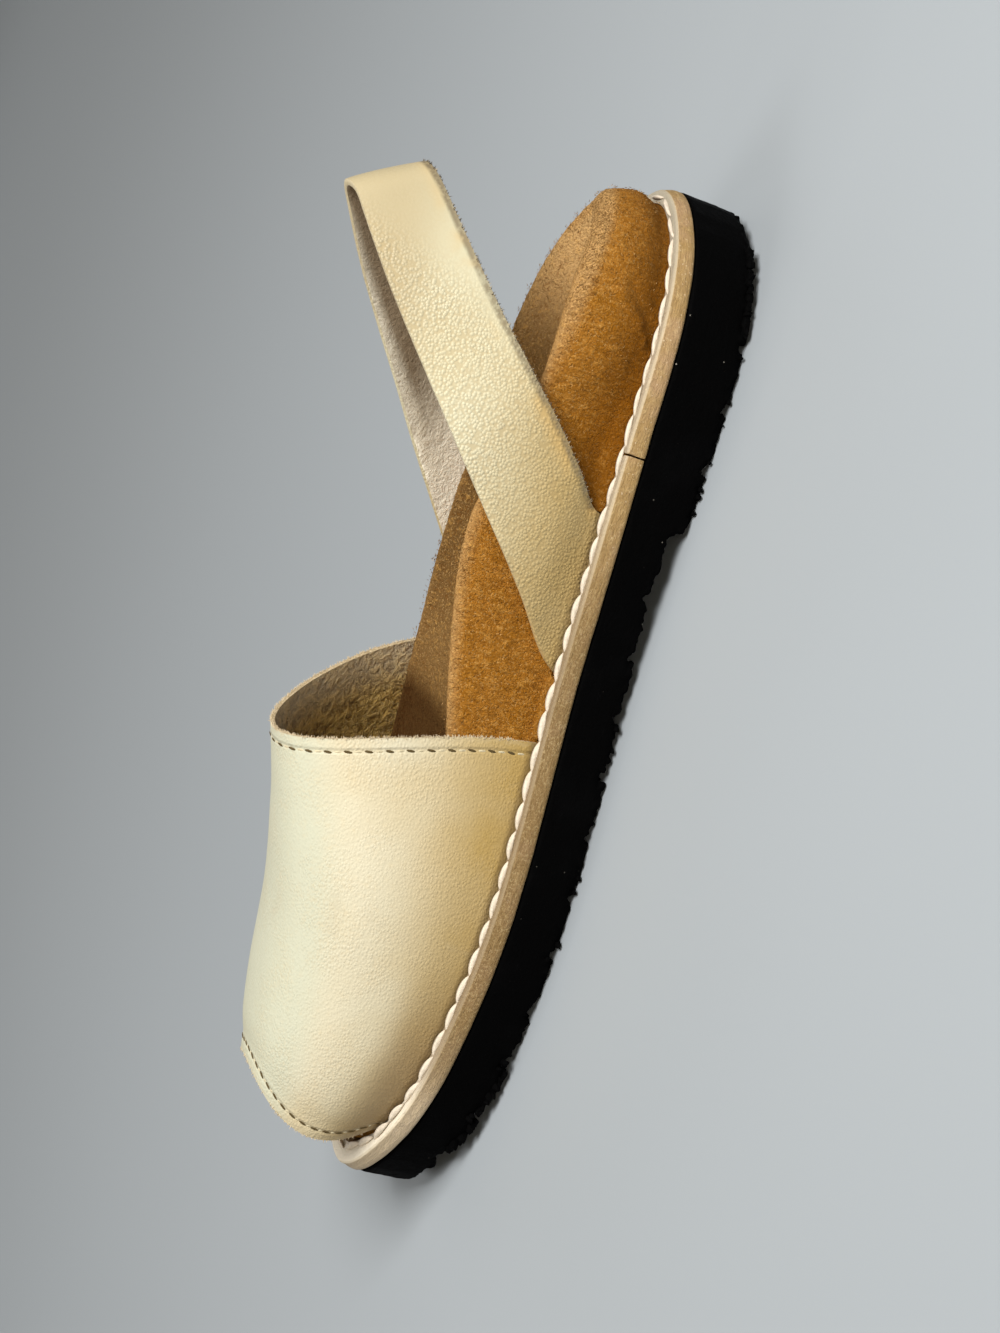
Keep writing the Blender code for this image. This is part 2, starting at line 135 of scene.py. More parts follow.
class Value:
    """A socket on which Python arithmetic adds Math nodes."""

    def __init__(self, paint, socket):
        self.paint = paint
        self.socket = socket

    def maths(self, operation, first, second=0.0, clamp=False):
        settings = {"operation": operation, "use_clamp": clamp}
        return self.paint.node("ShaderNodeMath", settings, {0: first, 1: second})

    def __add__(self, other):
        return self.maths("ADD", self, other)

    def __radd__(self, other):
        return self.maths("ADD", other, self)

    def __sub__(self, other):
        return self.maths("SUBTRACT", self, other)

    def __rsub__(self, other):
        return self.maths("SUBTRACT", other, self)

    def __mul__(self, other):
        return self.maths("MULTIPLY", self, other)

    def __rmul__(self, other):
        return self.maths("MULTIPLY", other, self)

    def clamped(self):
        return self.maths("ADD", self, clamp=True)

    def size(self):
        return self.maths("ABSOLUTE", self)

    def sine(self):
        return self.maths("SINE", self)

    def rise(self, low, high):
        """0 below low and 1 above high, smooth between."""
        settings = {"interpolation_type": "SMOOTHSTEP"}
        return self.paint.node("ShaderNodeMapRange", settings, {0: self, 1: low, 2: high, 3: 0.0, 4: 1.0})

    def fall(self, low, high):
        """1 below low and 0 above high, smooth between."""
        return 1.0 - self.rise(low, high)


class Paint:
    """A material in the making: one Principled shader, and a base colour over which tones are laid."""

    def __init__(self, name, roughness, specular, sheen=0.0, sheen_tint=(1, 1, 1)):
        self.material = bpy.data.materials.new(name)
        self.material.use_nodes = True
        self.tree = self.material.node_tree
        self.shader = self.tree.nodes["Principled BSDF"].inputs
        self.shader["Roughness"].default_value = roughness
        self.shader["Specular IOR Level"].default_value = specular
        self.shader["Sheen Weight"].default_value = sheen
        self.shader["Sheen Roughness"].default_value = 0.5
        self.shader["Sheen Tint"].default_value = (*sheen_tint, 1.0)
        self.place = self.node("ShaderNodeTexCoord", output=3)
        self.base = None

    def node(self, kind, settings=None, inputs=None, output=0):
        made = self.tree.nodes.new(kind)
        for key, value in (settings or {}).items():
            setattr(made, key, value)
        for key, value in (inputs or {}).items():
            self.plug(made.inputs[key], value)
        return Value(self, made.outputs[output])

    def plug(self, socket, value):
        if isinstance(value, Value):
            self.tree.links.new(value.socket, socket)
        else:
            socket.default_value = (*value, 1.0) if socket.type == "RGBA" else value

    def moved(self, scale, turn=(0, 0, 0)):
        """Object coordinates stretched and turned."""
        return self.node("ShaderNodeMapping", None, {0: self.place, 2: turn, 3: scale})

    def cloud(self, size, detail=2.0, roughness=0.5, at=None, distortion=0.0):
        """Noise whose blotches are about size millimetres across."""
        inputs = {"Vector": at or self.place, "Scale": 1.0 / (size * MM), "Detail": detail}
        inputs.update({"Roughness": roughness, "Distortion": distortion})
        return self.node("ShaderNodeTexNoise", None, inputs)

    def cells(self, size, at=None, randomness=1.0):
        """Distance in a pattern of cells about size millimetres across."""
        inputs = {"Vector": at or self.place, "Scale": 1.0 / (size * MM), "Randomness": randomness}
        return self.node("ShaderNodeTexVoronoi", None, inputs)

    def stored(self, name):
        """A number that is stored on the piece's points."""
        return self.node("ShaderNodeAttribute", {"attribute_name": name}, output=2)

    def blend(self, factor, first, second):
        return self.node("ShaderNodeMix", {"data_type": "RGBA"}, {0: factor, 6: first, 7: second}, output=2)

    def lay(self, factor, tone):
        """Lays a tone over the base colour, as strongly as the factor says."""
        self.base = self.blend(factor, self.base, tone)

    def roughness(self, value):
        self.plug(self.shader["Roughness"], value)

    def finished(self, height=None):
        """The material, with its base colour and with relief from a height in millimetres."""
        self.plug(self.shader["Base Color"], self.base)
        if height is not None:
            bump = self.node("ShaderNodeBump", None, {"Strength": 1.0, "Distance": MM, "Height": height})
            self.plug(self.shader["Normal"], bump)
        return self.material


def cream_grain(inks, name, pebble):
    """Dyed-through cream leather, grain side: fine pores on the vamp, plump pebbles on the strap."""
    paint = Paint(name, 0.5, 0.38, 0.08, (1.0, 0.9, 0.7))
    middle = paint.cloud(9, 3.0, 0.6)
    fine = paint.cloud(1.6, 3.0, 0.6)
    grain = paint.cloud(0.5, 2.0, 0.6)
    low = paint.stored("low")
    edge = paint.stored("rim")
    # Painted shade: near the welt (low) the leather is laid warmer, standing in for the warm shade there; the
    # broad cloud gives real warmer patches.
    warm = paint.cloud(34).rise(0.40, 0.68) * (0.14 if pebble else 0.28) + low * (0.62 + middle * 0.3)
    paint.base = paint.blend(warm.clamped(), inks.strap if pebble else inks.cream, inks.cream_warm)
    # Painted shade: the upward-facing crown of the vamp is laid darker and greyer.
    paint.lay(paint.stored("crown") * 0.85, (0.49, 0.51, 0.40))
    # Painted shade: darker still right beside the welt.
    paint.lay(low * low * 0.42, (0.33, 0.225, 0.085))
    paint.lay(paint.stored("toe_shade") * 0.72, (0.27, 0.185, 0.095))
    smudges = paint.cloud(17, 4.0, 0.62, distortion=0.6).rise(0.57, 0.74) * middle.rise(0.35, 0.7)
    paint.lay(smudges * 0.34, inks.smudge)
    paint.lay(fine.rise(0.5, 0.8) * 0.16, (0.60, 0.46, 0.25))
    if pebble:
        bumps = paint.cells(0.78, randomness=0.85).rise(0.05, 0.78)
        valley = bumps.rise(0.58, 1.0)
        stretch = paint.stored("stretch")
        depth = (1.0 - paint.stored("smooth") * 0.9) * (0.45 + middle)
        # Painted shade: the top of the strap is laid darker.
        paint.lay(stretch * 0.85, (0.44, 0.365, 0.22))
        # The valleys between the pebbles are laid darker and warmer: the grain's own warmer tone there, and
        # painted shade in the recesses.
        paint.lay(valley * 0.32 * depth, (0.37, 0.25, 0.095))
        orange = edge.fall(1.5, 5.5) * paint.cloud(11).rise(0.46, 0.62)
        paint.lay(orange * (0.50 - stretch * 0.35), (0.58, 0.37, 0.12))
        stain = edge.fall(0.8, 2.2) * (0.5 + fine.rise(0.35, 0.6) * 0.5)
        paint.lay(stain * (0.75 + stretch * 0.25), (0.07, 0.05, 0.025))
        height = ((1.0 - bumps) * 0.155 + grain * 0.03) * depth + fine * 0.015
        paint.roughness(0.46 + valley * 0.2)
    else:
        pores = paint.cells(0.6).rise(0.10, 0.72)
        patch = paint.cloud(12).rise(0.4, 0.65)
        paint.lay(pores.rise(0.6, 1.0) * patch * 0.16, (0.52, 0.40, 0.22))
        groove = (edge - 2.9).size().fall(0.1, 0.9)
        paint.lay(groove * 0.10, (0.42, 0.33, 0.17))
        seed = paint.cells(0.62, at=paint.moved((0.75, 1.0, 1.0), turn=(0.0, 0.0, 0.7))).rise(0.05, 0.8)
        height = ((1.0 - pores) * 0.02 + (1.0 - seed) * 0.075) * (0.75 + patch * 0.45)
        height = height + grain * 0.02 - groove * 0.22
        paint.roughness(0.44 + fine * 0.14)
    paint.lay(edge.fall(0.3, 2.0) * fine.rise(0.35, 0.65) * 0.30, (0.54, 0.45, 0.29))
    # Painted shade: a dark contact line on the leather along the welt stitches.
    paint.lay(paint.stored("seam") * 0.60, (0.12, 0.08, 0.035))
    return paint.finished(height)


def flesh_side(inks, name, pale):
    """Brushed fibres on the inner side of the leather, in soft tufts; pale is how strongly the side is painted
    evenly light, as painted light.
    """
    paint = Paint(name, 0.95, 0.15, 0.2, (0.8, 0.68, 0.48))
    tufts = paint.cloud(2.6, 3.0, 0.6, distortion=0.4)
    fibres = paint.cloud(0.75, 3.0, 0.65)
    paint.base = paint.blend(tufts.rise(0.36, 0.64), inks.flesh, (0.26, 0.15, 0.028))
    paint.lay(fibres.rise(0.46, 0.68) * 0.55, (0.83, 0.63, 0.29))
    # Painted light: the flesh side is laid paler towards the rim, where light reaches in.
    paint.lay(paint.stored("rim").fall(0.5, 15.0) * 0.45, (0.86, 0.80, 0.66))
    # Painted light: an even pale tone over the side, as strong as pale.
    paint.lay(pale, (0.97, 0.92, 0.78))
    # Painted shadow: the strap's inner side is laid dark in its upper loop, where the other branch shades it.
    paint.lay(paint.stored("heel_worn") * 0.85, (0.20, 0.125, 0.055))
    return paint.finished((1.0 - tufts) * (2.4 - 2.1 * pale) + fibres * (0.9 - 0.6 * pale))


def cut_leather():
    """Raw cut edge: pale, fibrous, a little darker between the fibres."""
    paint = Paint("leather_cut_edge", 0.85, 0.2)
    fibres = paint.cloud(0.5, 3.0, 0.7)
    broad = paint.cloud(5)
    paint.base = paint.blend(fibres.rise(0.4, 0.65), (0.40, 0.31, 0.18), (0.66, 0.55, 0.37))
    paint.lay(broad.rise(0.5, 0.7) * 0.4, (0.36, 0.27, 0.15))
    paint.lay(paint.stored("grime") * (0.55 + broad.rise(0.35, 0.6) * 0.4), (0.07, 0.052, 0.03))
    return paint.finished(fibres * 0.25)


def brushed_suede(inks):
    """Footbed suede: a short nap that lies in patches, with flecks and handling marks."""
    paint = Paint("footbed_brushed_suede", 0.95, 0.07, 0.13, (1.0, 0.60, 0.20))
    nap = paint.cloud(6.5, 3.0, 0.55, distortion=1.2)
    swept = paint.cloud(1.3, 4.0, 0.7, at=paint.moved((1.0, 1.0, 0.5)), distortion=0.8)
    fleck = paint.cloud(0.5, 2.0, 0.7)
    names = ("hollow", "lip", "tip", "deep", "heelward", "waist", "forward")
    hollow, lip, tip, deep, heelward, waist, forward = map(paint.stored, names)
    fleece = lip * heelward
    # Painted light and shade on the top: lighter towards the heel, where the top tilts up to the light, and
    # dark at the waist, where the strap shades it.
    worn = paint.blend(heelward, (0.215, 0.12, 0.042), (0.56, 0.35, 0.15))
    worn = paint.blend(waist * 0.65, worn, (0.085, 0.04, 0.010))
    paint.base = paint.blend(nap.rise(0.46, 0.66) * 0.50, inks.suede, (0.30, 0.115, 0.004))
    # Painted shade: the lower wall of the heel half is laid darker and more saturated.
    paint.lay(deep * 0.90, (0.19, 0.062, 0.0))
    paint.lay(hollow, worn)
    # The rim's ridge is laid paler: the ridge's worn suede, and a painted highlight where it catches the light.
    paint.lay(lip * (0.60 + heelward * 0.15), (0.52, 0.33, 0.145))
    paint.lay(swept.rise(0.50, 0.68) * (0.44 - deep * 0.25), inks.suede_pale)
    paint.lay(swept.fall(0.34, 0.48) * 0.52, (0.17, 0.06, 0.005))
    paint.lay(fleck.rise(0.54, 0.72) * 0.55, (0.20, 0.075, 0.012))
    paint.lay(fleck.fall(0.30, 0.46) * (0.44 - deep * 0.30), (0.74, 0.47, 0.19))
    paint.lay(fleece * fleck.rise(0.54, 0.64) * 0.70, (0.17, 0.07, 0.012))
    paint.lay(fleece * fleck.fall(0.38, 0.50) * 0.65, (0.86, 0.50, 0.20))
    paint.lay(tip.rise(0.55, 0.95) * (0.75 - hollow * 0.50), (0.78, 0.50, 0.21))
    paint.lay(tip.fall(0.05, 0.45) * (0.70 - hollow * 0.35), (0.18, 0.068, 0.010))
    # Painted shadow: the top is laid very dark towards the vamp, where the vamp shades the hollow.
    paint.lay(hollow * forward * 0.95, (0.035, 0.008, 0.0))
    return paint.finished(swept * 1.1 + fleck * (0.8 + fleece * 0.8) + nap * 0.5)


def welt_leather(inks):
    """Natural strip: a smooth pale top and a cut side that shows the layers of the hide."""
    paint = Paint("welt_natural_leather", 0.6, 0.3)
    names = ("height", "top", "corner", "ends", "back", "waist")
    height, top, corner, ends, back, waist = map(paint.stored, names)
    layers = paint.cloud(0.42, 4.0, 0.65, at=paint.moved((0.16, 0.16, 1.0)))
    streak = paint.cloud(1.2, 4.0, 0.7, at=paint.moved((0.42, 0.42, 1.0)), distortion=0.6)
    broad = paint.cloud(13, 3.0, 0.6)
    fine = paint.cloud(0.6, 3.0, 0.7)
    pits = paint.cells(1.1)
    paint.base = paint.blend(layers.rise(0.42, 0.66) * 0.50, inks.welt, (0.25, 0.15, 0.055))
    paint.lay(streak.rise(0.50, 0.64) * 0.45, (0.56, 0.41, 0.20))
    paint.lay(broad.rise(0.46, 0.7) * 0.40, (0.46, 0.30, 0.20))
    paint.lay(top, (0.36, 0.295, 0.21))
    paint.lay(fine.rise(0.50, 0.68) * 0.55, (0.24, 0.155, 0.075))
    paint.lay(pits.fall(0.10, 0.24) * fine.rise(0.4, 0.6) * 0.5, (0.78, 0.64, 0.44))
    # Painted light: the toe end of the welt is laid paler.
    paint.lay(ends * (0.35 + top * 0.5), (0.80, 0.74, 0.62))
    # Painted highlight along the rounded upper corner.
    paint.lay(corner * 0.50, (0.70, 0.60, 0.42))
    paint.lay(back * top * 0.80, (0.37, 0.34, 0.27))
    paint.lay(waist * 0.62, (0.155, 0.092, 0.030))
    paint.lay(waist * fine.fall(0.34, 0.50) * (1.0 - top) * 0.45, (0.50, 0.38, 0.20))
    paint.lay(height.fall(0.0, 0.10) * 0.55, (0.22, 0.15, 0.08))
    paint.roughness(0.52 + layers * 0.2)
    return paint.finished(layers * 0.30 + streak * 0.30 + fine * 0.22)


def waxed_thread(name, colour, strands):
    """Waxed thread whose plies twist along the stitch."""
    paint = Paint(name, 0.55, 0.35)
    layout = {0: paint.node("ShaderNodeUVMap")}
    across = paint.node("ShaderNodeSeparateXYZ", None, layout, output=0)
    along = paint.node("ShaderNodeSeparateXYZ", None, layout, output=1)
    ply = ((across * strands + along * 2.4) * (2 * math.pi)).sine()
    grime = paint.cloud(1.1, 4.0, 0.65)
    paint.base = paint.blend(grime.rise(0.42, 0.70) * 0.40, colour, tuple(0.62 * c for c in colour))
    # Painted shade: the inner flank of each welt stitch, where it meets the upper, is laid dark.
    paint.lay(paint.stored("inner") * paint.stored("beside_upper") * 0.85, (0.09, 0.06, 0.035))
    # Painted shade: each stitch is laid darker towards its ends, where it dives under.
    paint.lay((along - 0.5).size().rise(0.24, 0.47) * 0.70, (0.22, 0.16, 0.10))
    # Painted shade in the grooves between the plies.
    paint.lay(ply.fall(-1.0, -0.2) * 0.15, (0.46, 0.36, 0.22))
    return paint.finished(ply * 0.03 + grime * 0.30)


def tread_rubber(inks):
    """Old tyre rubber: matt black with a faint bloom, scuffs and specks of dust."""
    paint = Paint("outsole_tread_rubber", 0.62, 0.02)
    skin = paint.cloud(0.9, 4.0, 0.7)
    scuff = paint.cloud(2.2, 4.0, 0.7, at=paint.moved((0.25, 0.25, 1.0)), distortion=1.0)
    bloom = paint.cloud(16, 4.0, 0.6).rise(0.45, 0.75)
    specks = paint.cells(3.1).fall(0.04, 0.08) * paint.cloud(9).rise(0.52, 0.62)
    paint.base = paint.blend(bloom * 0.6, inks.rubber, (0.0022, 0.0022, 0.0025))
    paint.lay(scuff.rise(0.66, 0.78) * 0.4, (0.007, 0.007, 0.008))
    paint.lay(specks * 0.7, (0.42, 0.39, 0.34))
    paint.roughness(0.54 + skin * 0.3)
    return paint.finished(skin * 0.22 + scuff * 0.14)


# ------------------------------------------------------------------------------------------------ making


def sizes():
    return bpy.context.scene.sandal_sizes


def colours():
    return bpy.context.scene.sandal_colours


def only(piece):
    """Selects the piece alone and makes it active."""
    bpy.ops.object.select_all(action="DESELECT")
    piece.select_set(True)
    bpy.context.view_layer.objects.active = piece


def edit_all(operator, **settings):
    """Runs an edit-mode operator on the whole of the active piece, and returns the piece."""
    bpy.ops.object.mode_set(mode="EDIT")
    bpy.ops.mesh.select_all(action="SELECT")
    operator(**settings)
    bpy.ops.object.mode_set(mode="OBJECT")
    return bpy.context.object


def copy_of(node, name):
    """A merged copy of a CAD node, its triangles joined to four-sided faces."""
    piece = bpy.data.objects.new(name, NODES[node].data.copy())
    piece.data.name = name
    piece.data.materials.clear()
    bpy.context.scene.collection.objects.link(piece)
    only(piece)
    bpy.ops.mesh.customdata_custom_splitnormals_clear()
    bpy.ops.object.mode_set(mode="EDIT")
    bpy.ops.mesh.select_all(action="SELECT")
    bpy.ops.mesh.remove_doubles(threshold=0.02 * MM)
    bpy.ops.mesh.tris_convert_to_quads(face_threshold=math.radians(35), shape_threshold=math.radians(70))
    bpy.ops.object.mode_set(mode="OBJECT")
    return piece


def finish_with(piece, kind, **settings):
    """Adds a modifier to the piece and applies it."""
    only(piece)
    modifier = piece.modifiers.new(kind.title(), kind)
    for key, value in settings.items():
        setattr(modifier, key, value)
    bpy.ops.object.modifier_apply(modifier=modifier.name)


def crease(piece, angle, amount):
    """Keeps the piece's sharp edges crisp when it is subdivided."""
    only(piece)
    bpy.ops.object.mode_set(mode="EDIT")
    bpy.ops.mesh.select_mode(type="EDGE")
    bpy.ops.mesh.select_all(action="DESELECT")
    bpy.ops.mesh.edges_select_sharp(sharpness=math.radians(angle))
    bpy.ops.transform.edge_crease(value=amount)
    bpy.ops.object.mode_set(mode="OBJECT")


def strand(rings, long, wide, high):
    """A rounded strand along X."""
    turn = (0, math.pi / 2, 0)
    bpy.ops.mesh.primitive_uv_sphere_add(segments=rings, ring_count=rings, radius=0.5, rotation=turn)
    bpy.ops.object.transform_apply(location=False, rotation=True, scale=False)
    return edit_all(bpy.ops.transform.resize, value=(long, wide, high))


def tree_of(piece):
    """A search tree of the piece's faces."""
    mesh = piece.data
    return BVHTree.FromPolygons([v.co for v in mesh.vertices], [f.vertices for f in mesh.polygons])


def near(points):
    """A search tree of points."""
    tree = KDTree(len(points))
    for k, point in enumerate(points):
        tree.insert(point, k)
    tree.balance()
    return tree


def points_of(piece, what="co"):
    values = np.empty(len(piece.data.vertices) * 3)
    piece.data.vertices.foreach_get(what, values)
    return values.reshape(-1, 3)


def move_points(piece, places):
    piece.data.vertices.foreach_set("co", np.asarray(places, float).ravel())
    piece.data.update()


def pushed(places, ways, amount):
    """Places moved along the ways, each by its amount in millimetres."""
    return places + ways * (amount * MM)[:, None]


def unit(ways):
    """Ways of length one, and nothing where there is none."""
    return ways / np.maximum(np.linalg.norm(ways, axis=1), 1e-6)[:, None]


def store(piece, **marks):
    """Stores numbers on each point of the piece, by name."""
    for name, values in marks.items():
        layer = piece.data.attributes.new(name, "FLOAT", "POINT")
        layer.data.foreach_set("value", np.asarray(values, np.float32))


def clouds(places, size, seed):
    """Smooth noise from -1 to 1 at each place, with blotches about size millimetres across."""
    return np.array([noise.noise(Vector(p)) for p in places / (size * MM) + seed])


def ease(values, low, high):
    """0 below low and 1 above high, smooth between."""
    share = np.clip((np.asarray(values, float) - low) / (high - low), 0, 1)
    return share * share * (3 - 2 * share)


def ramp(values, low, high):
    """The same, with low and high in millimetres."""
    return ease(values, low * MM, high * MM)


def sort_faces(piece, outward, leather):
    """Gives each face of a sheet of leather its slot: grain side, flesh side or cut edge."""
    tree = tree_of(piece)
    thickest = 1.7 * leather
    for face in piece.data.polygons:
        through = tree.ray_cast(face.center - face.normal * 0.05 * MM, -face.normal)[3]
        if through is None or through > thickest:
            face.material_index = CUT
        else:
            face.material_index = GRAIN if face.normal.dot(outward(face.center)) > 0 else FLESH


def border(piece, keep):
    """Runs of points between grain side and cut edge, where keep(place, cut face's normal) holds."""
    sharing = {}
    for face in piece.data.polygons:
        if face.material_index != FLESH:
            for pair in face.edge_keys:
                sharing.setdefault(pair, []).append(face)
    links = {}
    points = piece.data.vertices
    for (a, b), faces in sharing.items():
        if len(faces) != 2 or faces[0].material_index == faces[1].material_index:
            continue
        rim = faces[0] if faces[0].material_index == CUT else faces[1]
        if keep((points[a].co + points[b].co) / 2, rim.normal):
            links.setdefault(a, []).append(b)
            links.setdefault(b, []).append(a)
    runs = []
    used = set()
    for start in [a for a, linked in links.items() if len(linked) == 1]:
        if start in used:
            continue
        run = [start]
        while True:
            used.add(run[-1])
            ahead = [n for n in links[run[-1]] if n not in used]
            if not ahead:
                break
            run.append(ahead[0])
        runs.append(run)
    runs.sort(key=len, reverse=True)
    shortest = 9
    return [np.array([points[n].co for n in run]) for run in runs if len(run) >= shortest]


def even_steps(path, step, closed=False):
    """Places at equal steps along a path, with the direction of the path there."""
    path = np.asarray(path)
    if closed:
        path = np.vstack([path, path[:1]])
    run = np.concatenate([[0], np.cumsum(np.linalg.norm(np.diff(path, axis=0), axis=1))])
    count = max(2, round(run[-1] / step))
    at = (np.arange(count) + 0.5) * run[-1] / count

    def place(r):
        r = r % run[-1] if closed else r
        return np.stack([np.interp(r, run, path[:, k]) for k in range(3)], axis=1)

    return place(at), unit(place(at + 0.6 * MM) - place(at - 0.6 * MM))


def distance_to(paths, places):
    """Shortest distance from each place to any of the paths."""
    tree = near(np.vstack([even_steps(path, 0.3 * MM)[0] for path in paths]))
    return np.array([tree.find(p)[2] for p in places])


def beside(line, places):
    """For each place, the nearest point of the line seen from above, and how far off it is."""
    tree = near(line * LEVEL)
    found = [tree.find(p) for p in places * LEVEL]
    return np.array([f[1] for f in found]), np.array([f[2] for f in found])


def skive(piece, amount, above):
    """Thins a sheet of leather from its flesh side, above a height."""
    inward = np.zeros((len(piece.data.vertices), 3))
    for face in piece.data.polygons:
        if face.material_index == FLESH:
            inward[list(face.vertices)] += face.normal
    places = points_of(piece)
    share = ease(places[:, 2], above, above + 8 * MM)
    move_points(piece, places - unit(inward) * (amount * share)[:, None])


def repeat(pattern, places, name):
    """One object made of copies of the pattern, one at each place, and the pattern removed."""
    copies = []
    for place in places:
        copy = bpy.data.objects.new(name, pattern.data.copy())
        copy.data.transform(place)
        bpy.context.scene.collection.objects.link(copy)
        copies.append(copy)
    bpy.data.objects.remove(pattern)
    only(copies[0])
    for copy in copies:
        copy.select_set(True)
    bpy.ops.object.join()
    copies[0].name = name
    copies[0].data.name = name
    return copies[0]


def facing(place, ahead, up):
    """Matrix that puts a pattern's X along ahead and its Z along up."""
    ahead = Vector(ahead).normalized()
    side = Vector(up).cross(ahead).normalized()
    turn = Matrix((ahead, side, ahead.cross(side))).transposed().to_4x4()
    return Matrix.Translation(Vector(place)) @ turn


def settle(piece, slot, *materials, angle=None, nodes=()):
    """Smooths and paints the finished piece and puts it on the body, in place of its CAD nodes; the slot is not
    used.
    """
    only(piece)
    if angle is None:
        bpy.ops.object.shade_smooth()
    else:
        bpy.ops.object.shade_smooth_by_angle(angle=math.radians(angle))
    for material in materials:
        piece.data.materials.append(material)
    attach(piece, "root")
    if nodes:
        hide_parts(*nodes)
    return {"FINISHED"}


def welt_line():
    """Closed path along the inner upper edge of the welt, from the heel round the inner side to the toe."""
    tree = tree_of(NODES["welt"])
    low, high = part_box("welt")
    heel = Vector((low.x + 34 * MM, 0.0, 0.0))
    toe = Vector((high.x - 40 * MM, 4 * MM, 0.0))
    rays = [(heel, angle) for angle in np.linspace(180, 90, 34)]
    rays += [(heel.lerp(toe, share), 90) for share in np.linspace(0, 1, 120)[1:-1]]
    rays += [(toe, angle) for angle in np.linspace(90, -90, 68)]
    rays += [(heel.lerp(toe, share), -90) for share in np.linspace(1, 0, 120)[1:-1]]
    rays += [(heel, angle) for angle in np.linspace(-90, -180, 34)[:-1]]
    path = []
    for start, angle in rays:
        way = Vector((math.cos(math.radians(angle)), math.sin(math.radians(angle)), 0.0))
        for z in np.arange(14.5, 24.0, 0.5) * MM:
            wall = tree.ray_cast(Vector((start.x, start.y, z)), way)[0]
            if wall is None:
                continue
            top = tree.ray_cast(Vector((wall.x, wall.y, 60 * MM)) + way * 0.8 * MM, -UP)[0]
            if top is not None and top.z - wall.z < 4 * MM:
                path.append((wall.x, wall.y, top.z))
                break
    return np.array(path)


# ------------------------------------------------------------------------------------------------ pieces


def averaged(piece, places, rounds):
    """Places after a few rounds of moving each point to the middle of its neighbours."""
    edges = np.empty(len(piece.data.edges) * 2, np.int64)
    piece.data.edges.foreach_get("vertices", edges)
    first, second = edges.reshape(-1, 2).T
    count = np.bincount(first, minlength=len(places)) + np.bincount(second, minlength=len(places))
    for _ in range(rounds):
        total = np.zeros_like(places)
        np.add.at(total, first, places[second])
        np.add.at(total, second, places[first])
        places = total / count[:, None]
    return places


class SANDAL_OT_outsole(bpy.types.Operator):
    """Outsole cut from tyre tread: softened lugs, torn lower edges and a matt skin"""

    bl_idname = "sandal.outsole"
    bl_label = "Outsole"

    def execute(self, context):
        piece = copy_of("outsole", "outsole_rubber")
        finish_with(piece, "REMESH", mode="VOXEL", voxel_size=sizes().rubber_voxel, adaptivity=0.0)
        places = points_of(piece)
        normals = points_of(piece, "normal")
        height = places[:, 2]
        smooth = averaged(piece, places, 4)
        edge = np.clip(((places - smooth) * normals).sum(axis=1) / (0.22 * MM), 0, 1)
        low = 1 - ramp(height, 2.0, 9.0)
        ragged = np.tanh(4 * clouds(places, 1.7, 3.1)) * 0.5 + clouds(places, 4.5, 9.7) * 0.5
        rough = 0.06 + 1.15 * edge * low
        rough[(normals[:, 2] < -0.9) & (height < 0.35 * MM)] = 0.0
        rounded = averaged(piece, places, 14) - places
        places = pushed(places + rounded * (0.65 * low)[:, None], normals, ragged * rough)
        places[:, 2] = np.maximum(places[:, 2], 0.0)
        move_points(piece, places)
        finish_with(piece, "DECIMATE", ratio=min(1.0, RUBBER_FACES / len(piece.data.polygons)))
        return settle(piece, "outsole", tread_rubber(colours()), nodes=("outsole",))


class SANDAL_OT_tread_nibs(bpy.types.Operator):
    """Torn crumbs of rubber along the lower edge of the sole"""

    bl_idname = "sandal.tread_nibs"
    bl_label = "Tread nibs"

    def execute(self, context):
        draw = random.Random(11)
        tree = tree_of(NODES["outsole"])
        low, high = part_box("outsole")
        at_heel, at_toe = 0.34, 0.60
        places = []
        while len(places) < CRUMBS:
            way = Vector((draw.uniform(-1, 1), draw.choice((-1, 1)), 0.0)).normalized()
            along = draw.uniform(low.x + 40 * MM, high.x - 40 * MM)
            start = Vector((along, 0.0, draw.uniform(0.6, 3.5) * MM))
            kind = draw.random()
            if kind < at_heel:
                start = Vector((low.x + 38 * MM, 0.0, draw.uniform(0.8, 4.5) * MM))
                way.x = -abs(way.x) - 0.3
            elif kind < at_toe:
                start = Vector((high.x - 45 * MM, 0.0, draw.uniform(3.0, 8.0) * MM))
                way.x = abs(way.x)
            hit, normal, _, _ = tree.ray_cast(start, way)
            if hit is None or abs(normal.z) > 0.6 or normal.dot(way) < 0.15:
                continue
            below = hit - normal * 0.6 * MM
            ledge = tree.ray_cast(Vector((below.x, below.y, -10 * MM)), UP)[0]
            if ledge is None or ledge.z > 11 * MM:
                continue
            size = draw.uniform(0.5, 1.25) * (1.15 if kind < at_toe else 0.80)
            root = Vector((hit.x, hit.y, ledge.z + 0.7 * size * MM)) + normal * 0.25 * size * MM
            lean = Vector((draw.uniform(-0.8, 0.8), draw.uniform(-0.8, 0.8), draw.uniform(-0.4, 0.2)))
            long, wide = size * draw.uniform(0.8, 1.5), size * draw.uniform(0.6, 1.3)
            places.append(facing(root, normal + lean, UP) @ Matrix.Diagonal((long, wide, size * 0.8, 1.0)))
        bpy.ops.mesh.primitive_ico_sphere_add(subdivisions=1, radius=0.95 * MM)
        crumb = edit_all(bpy.ops.transform.vertex_random, offset=0.50 * MM, uniform=0.2, seed=5)
        piece = repeat(crumb, places, "tread_nibs")
        places = points_of(piece)
        places[:, 2] = np.maximum(places[:, 2], 0.05 * MM)
        move_points(piece, places)
        return settle(piece, "outsole", bpy.data.materials["outsole_tread_rubber"], angle=20)


def above_seat(places):
    """Height of each place above the strip's underside, which follows the seat of the sole."""
    x, _, z = places.T
    bins = np.linspace(x.min(), x.max(), 60)
    which = np.clip(np.digitize(x, bins) - 1, 0, len(bins) - 2)
    filled = np.unique(which)
    middle = (bins[1:] + bins[:-1]) / 2
    return z - np.interp(x, middle[filled], [z[which == k].min() for k in filled])


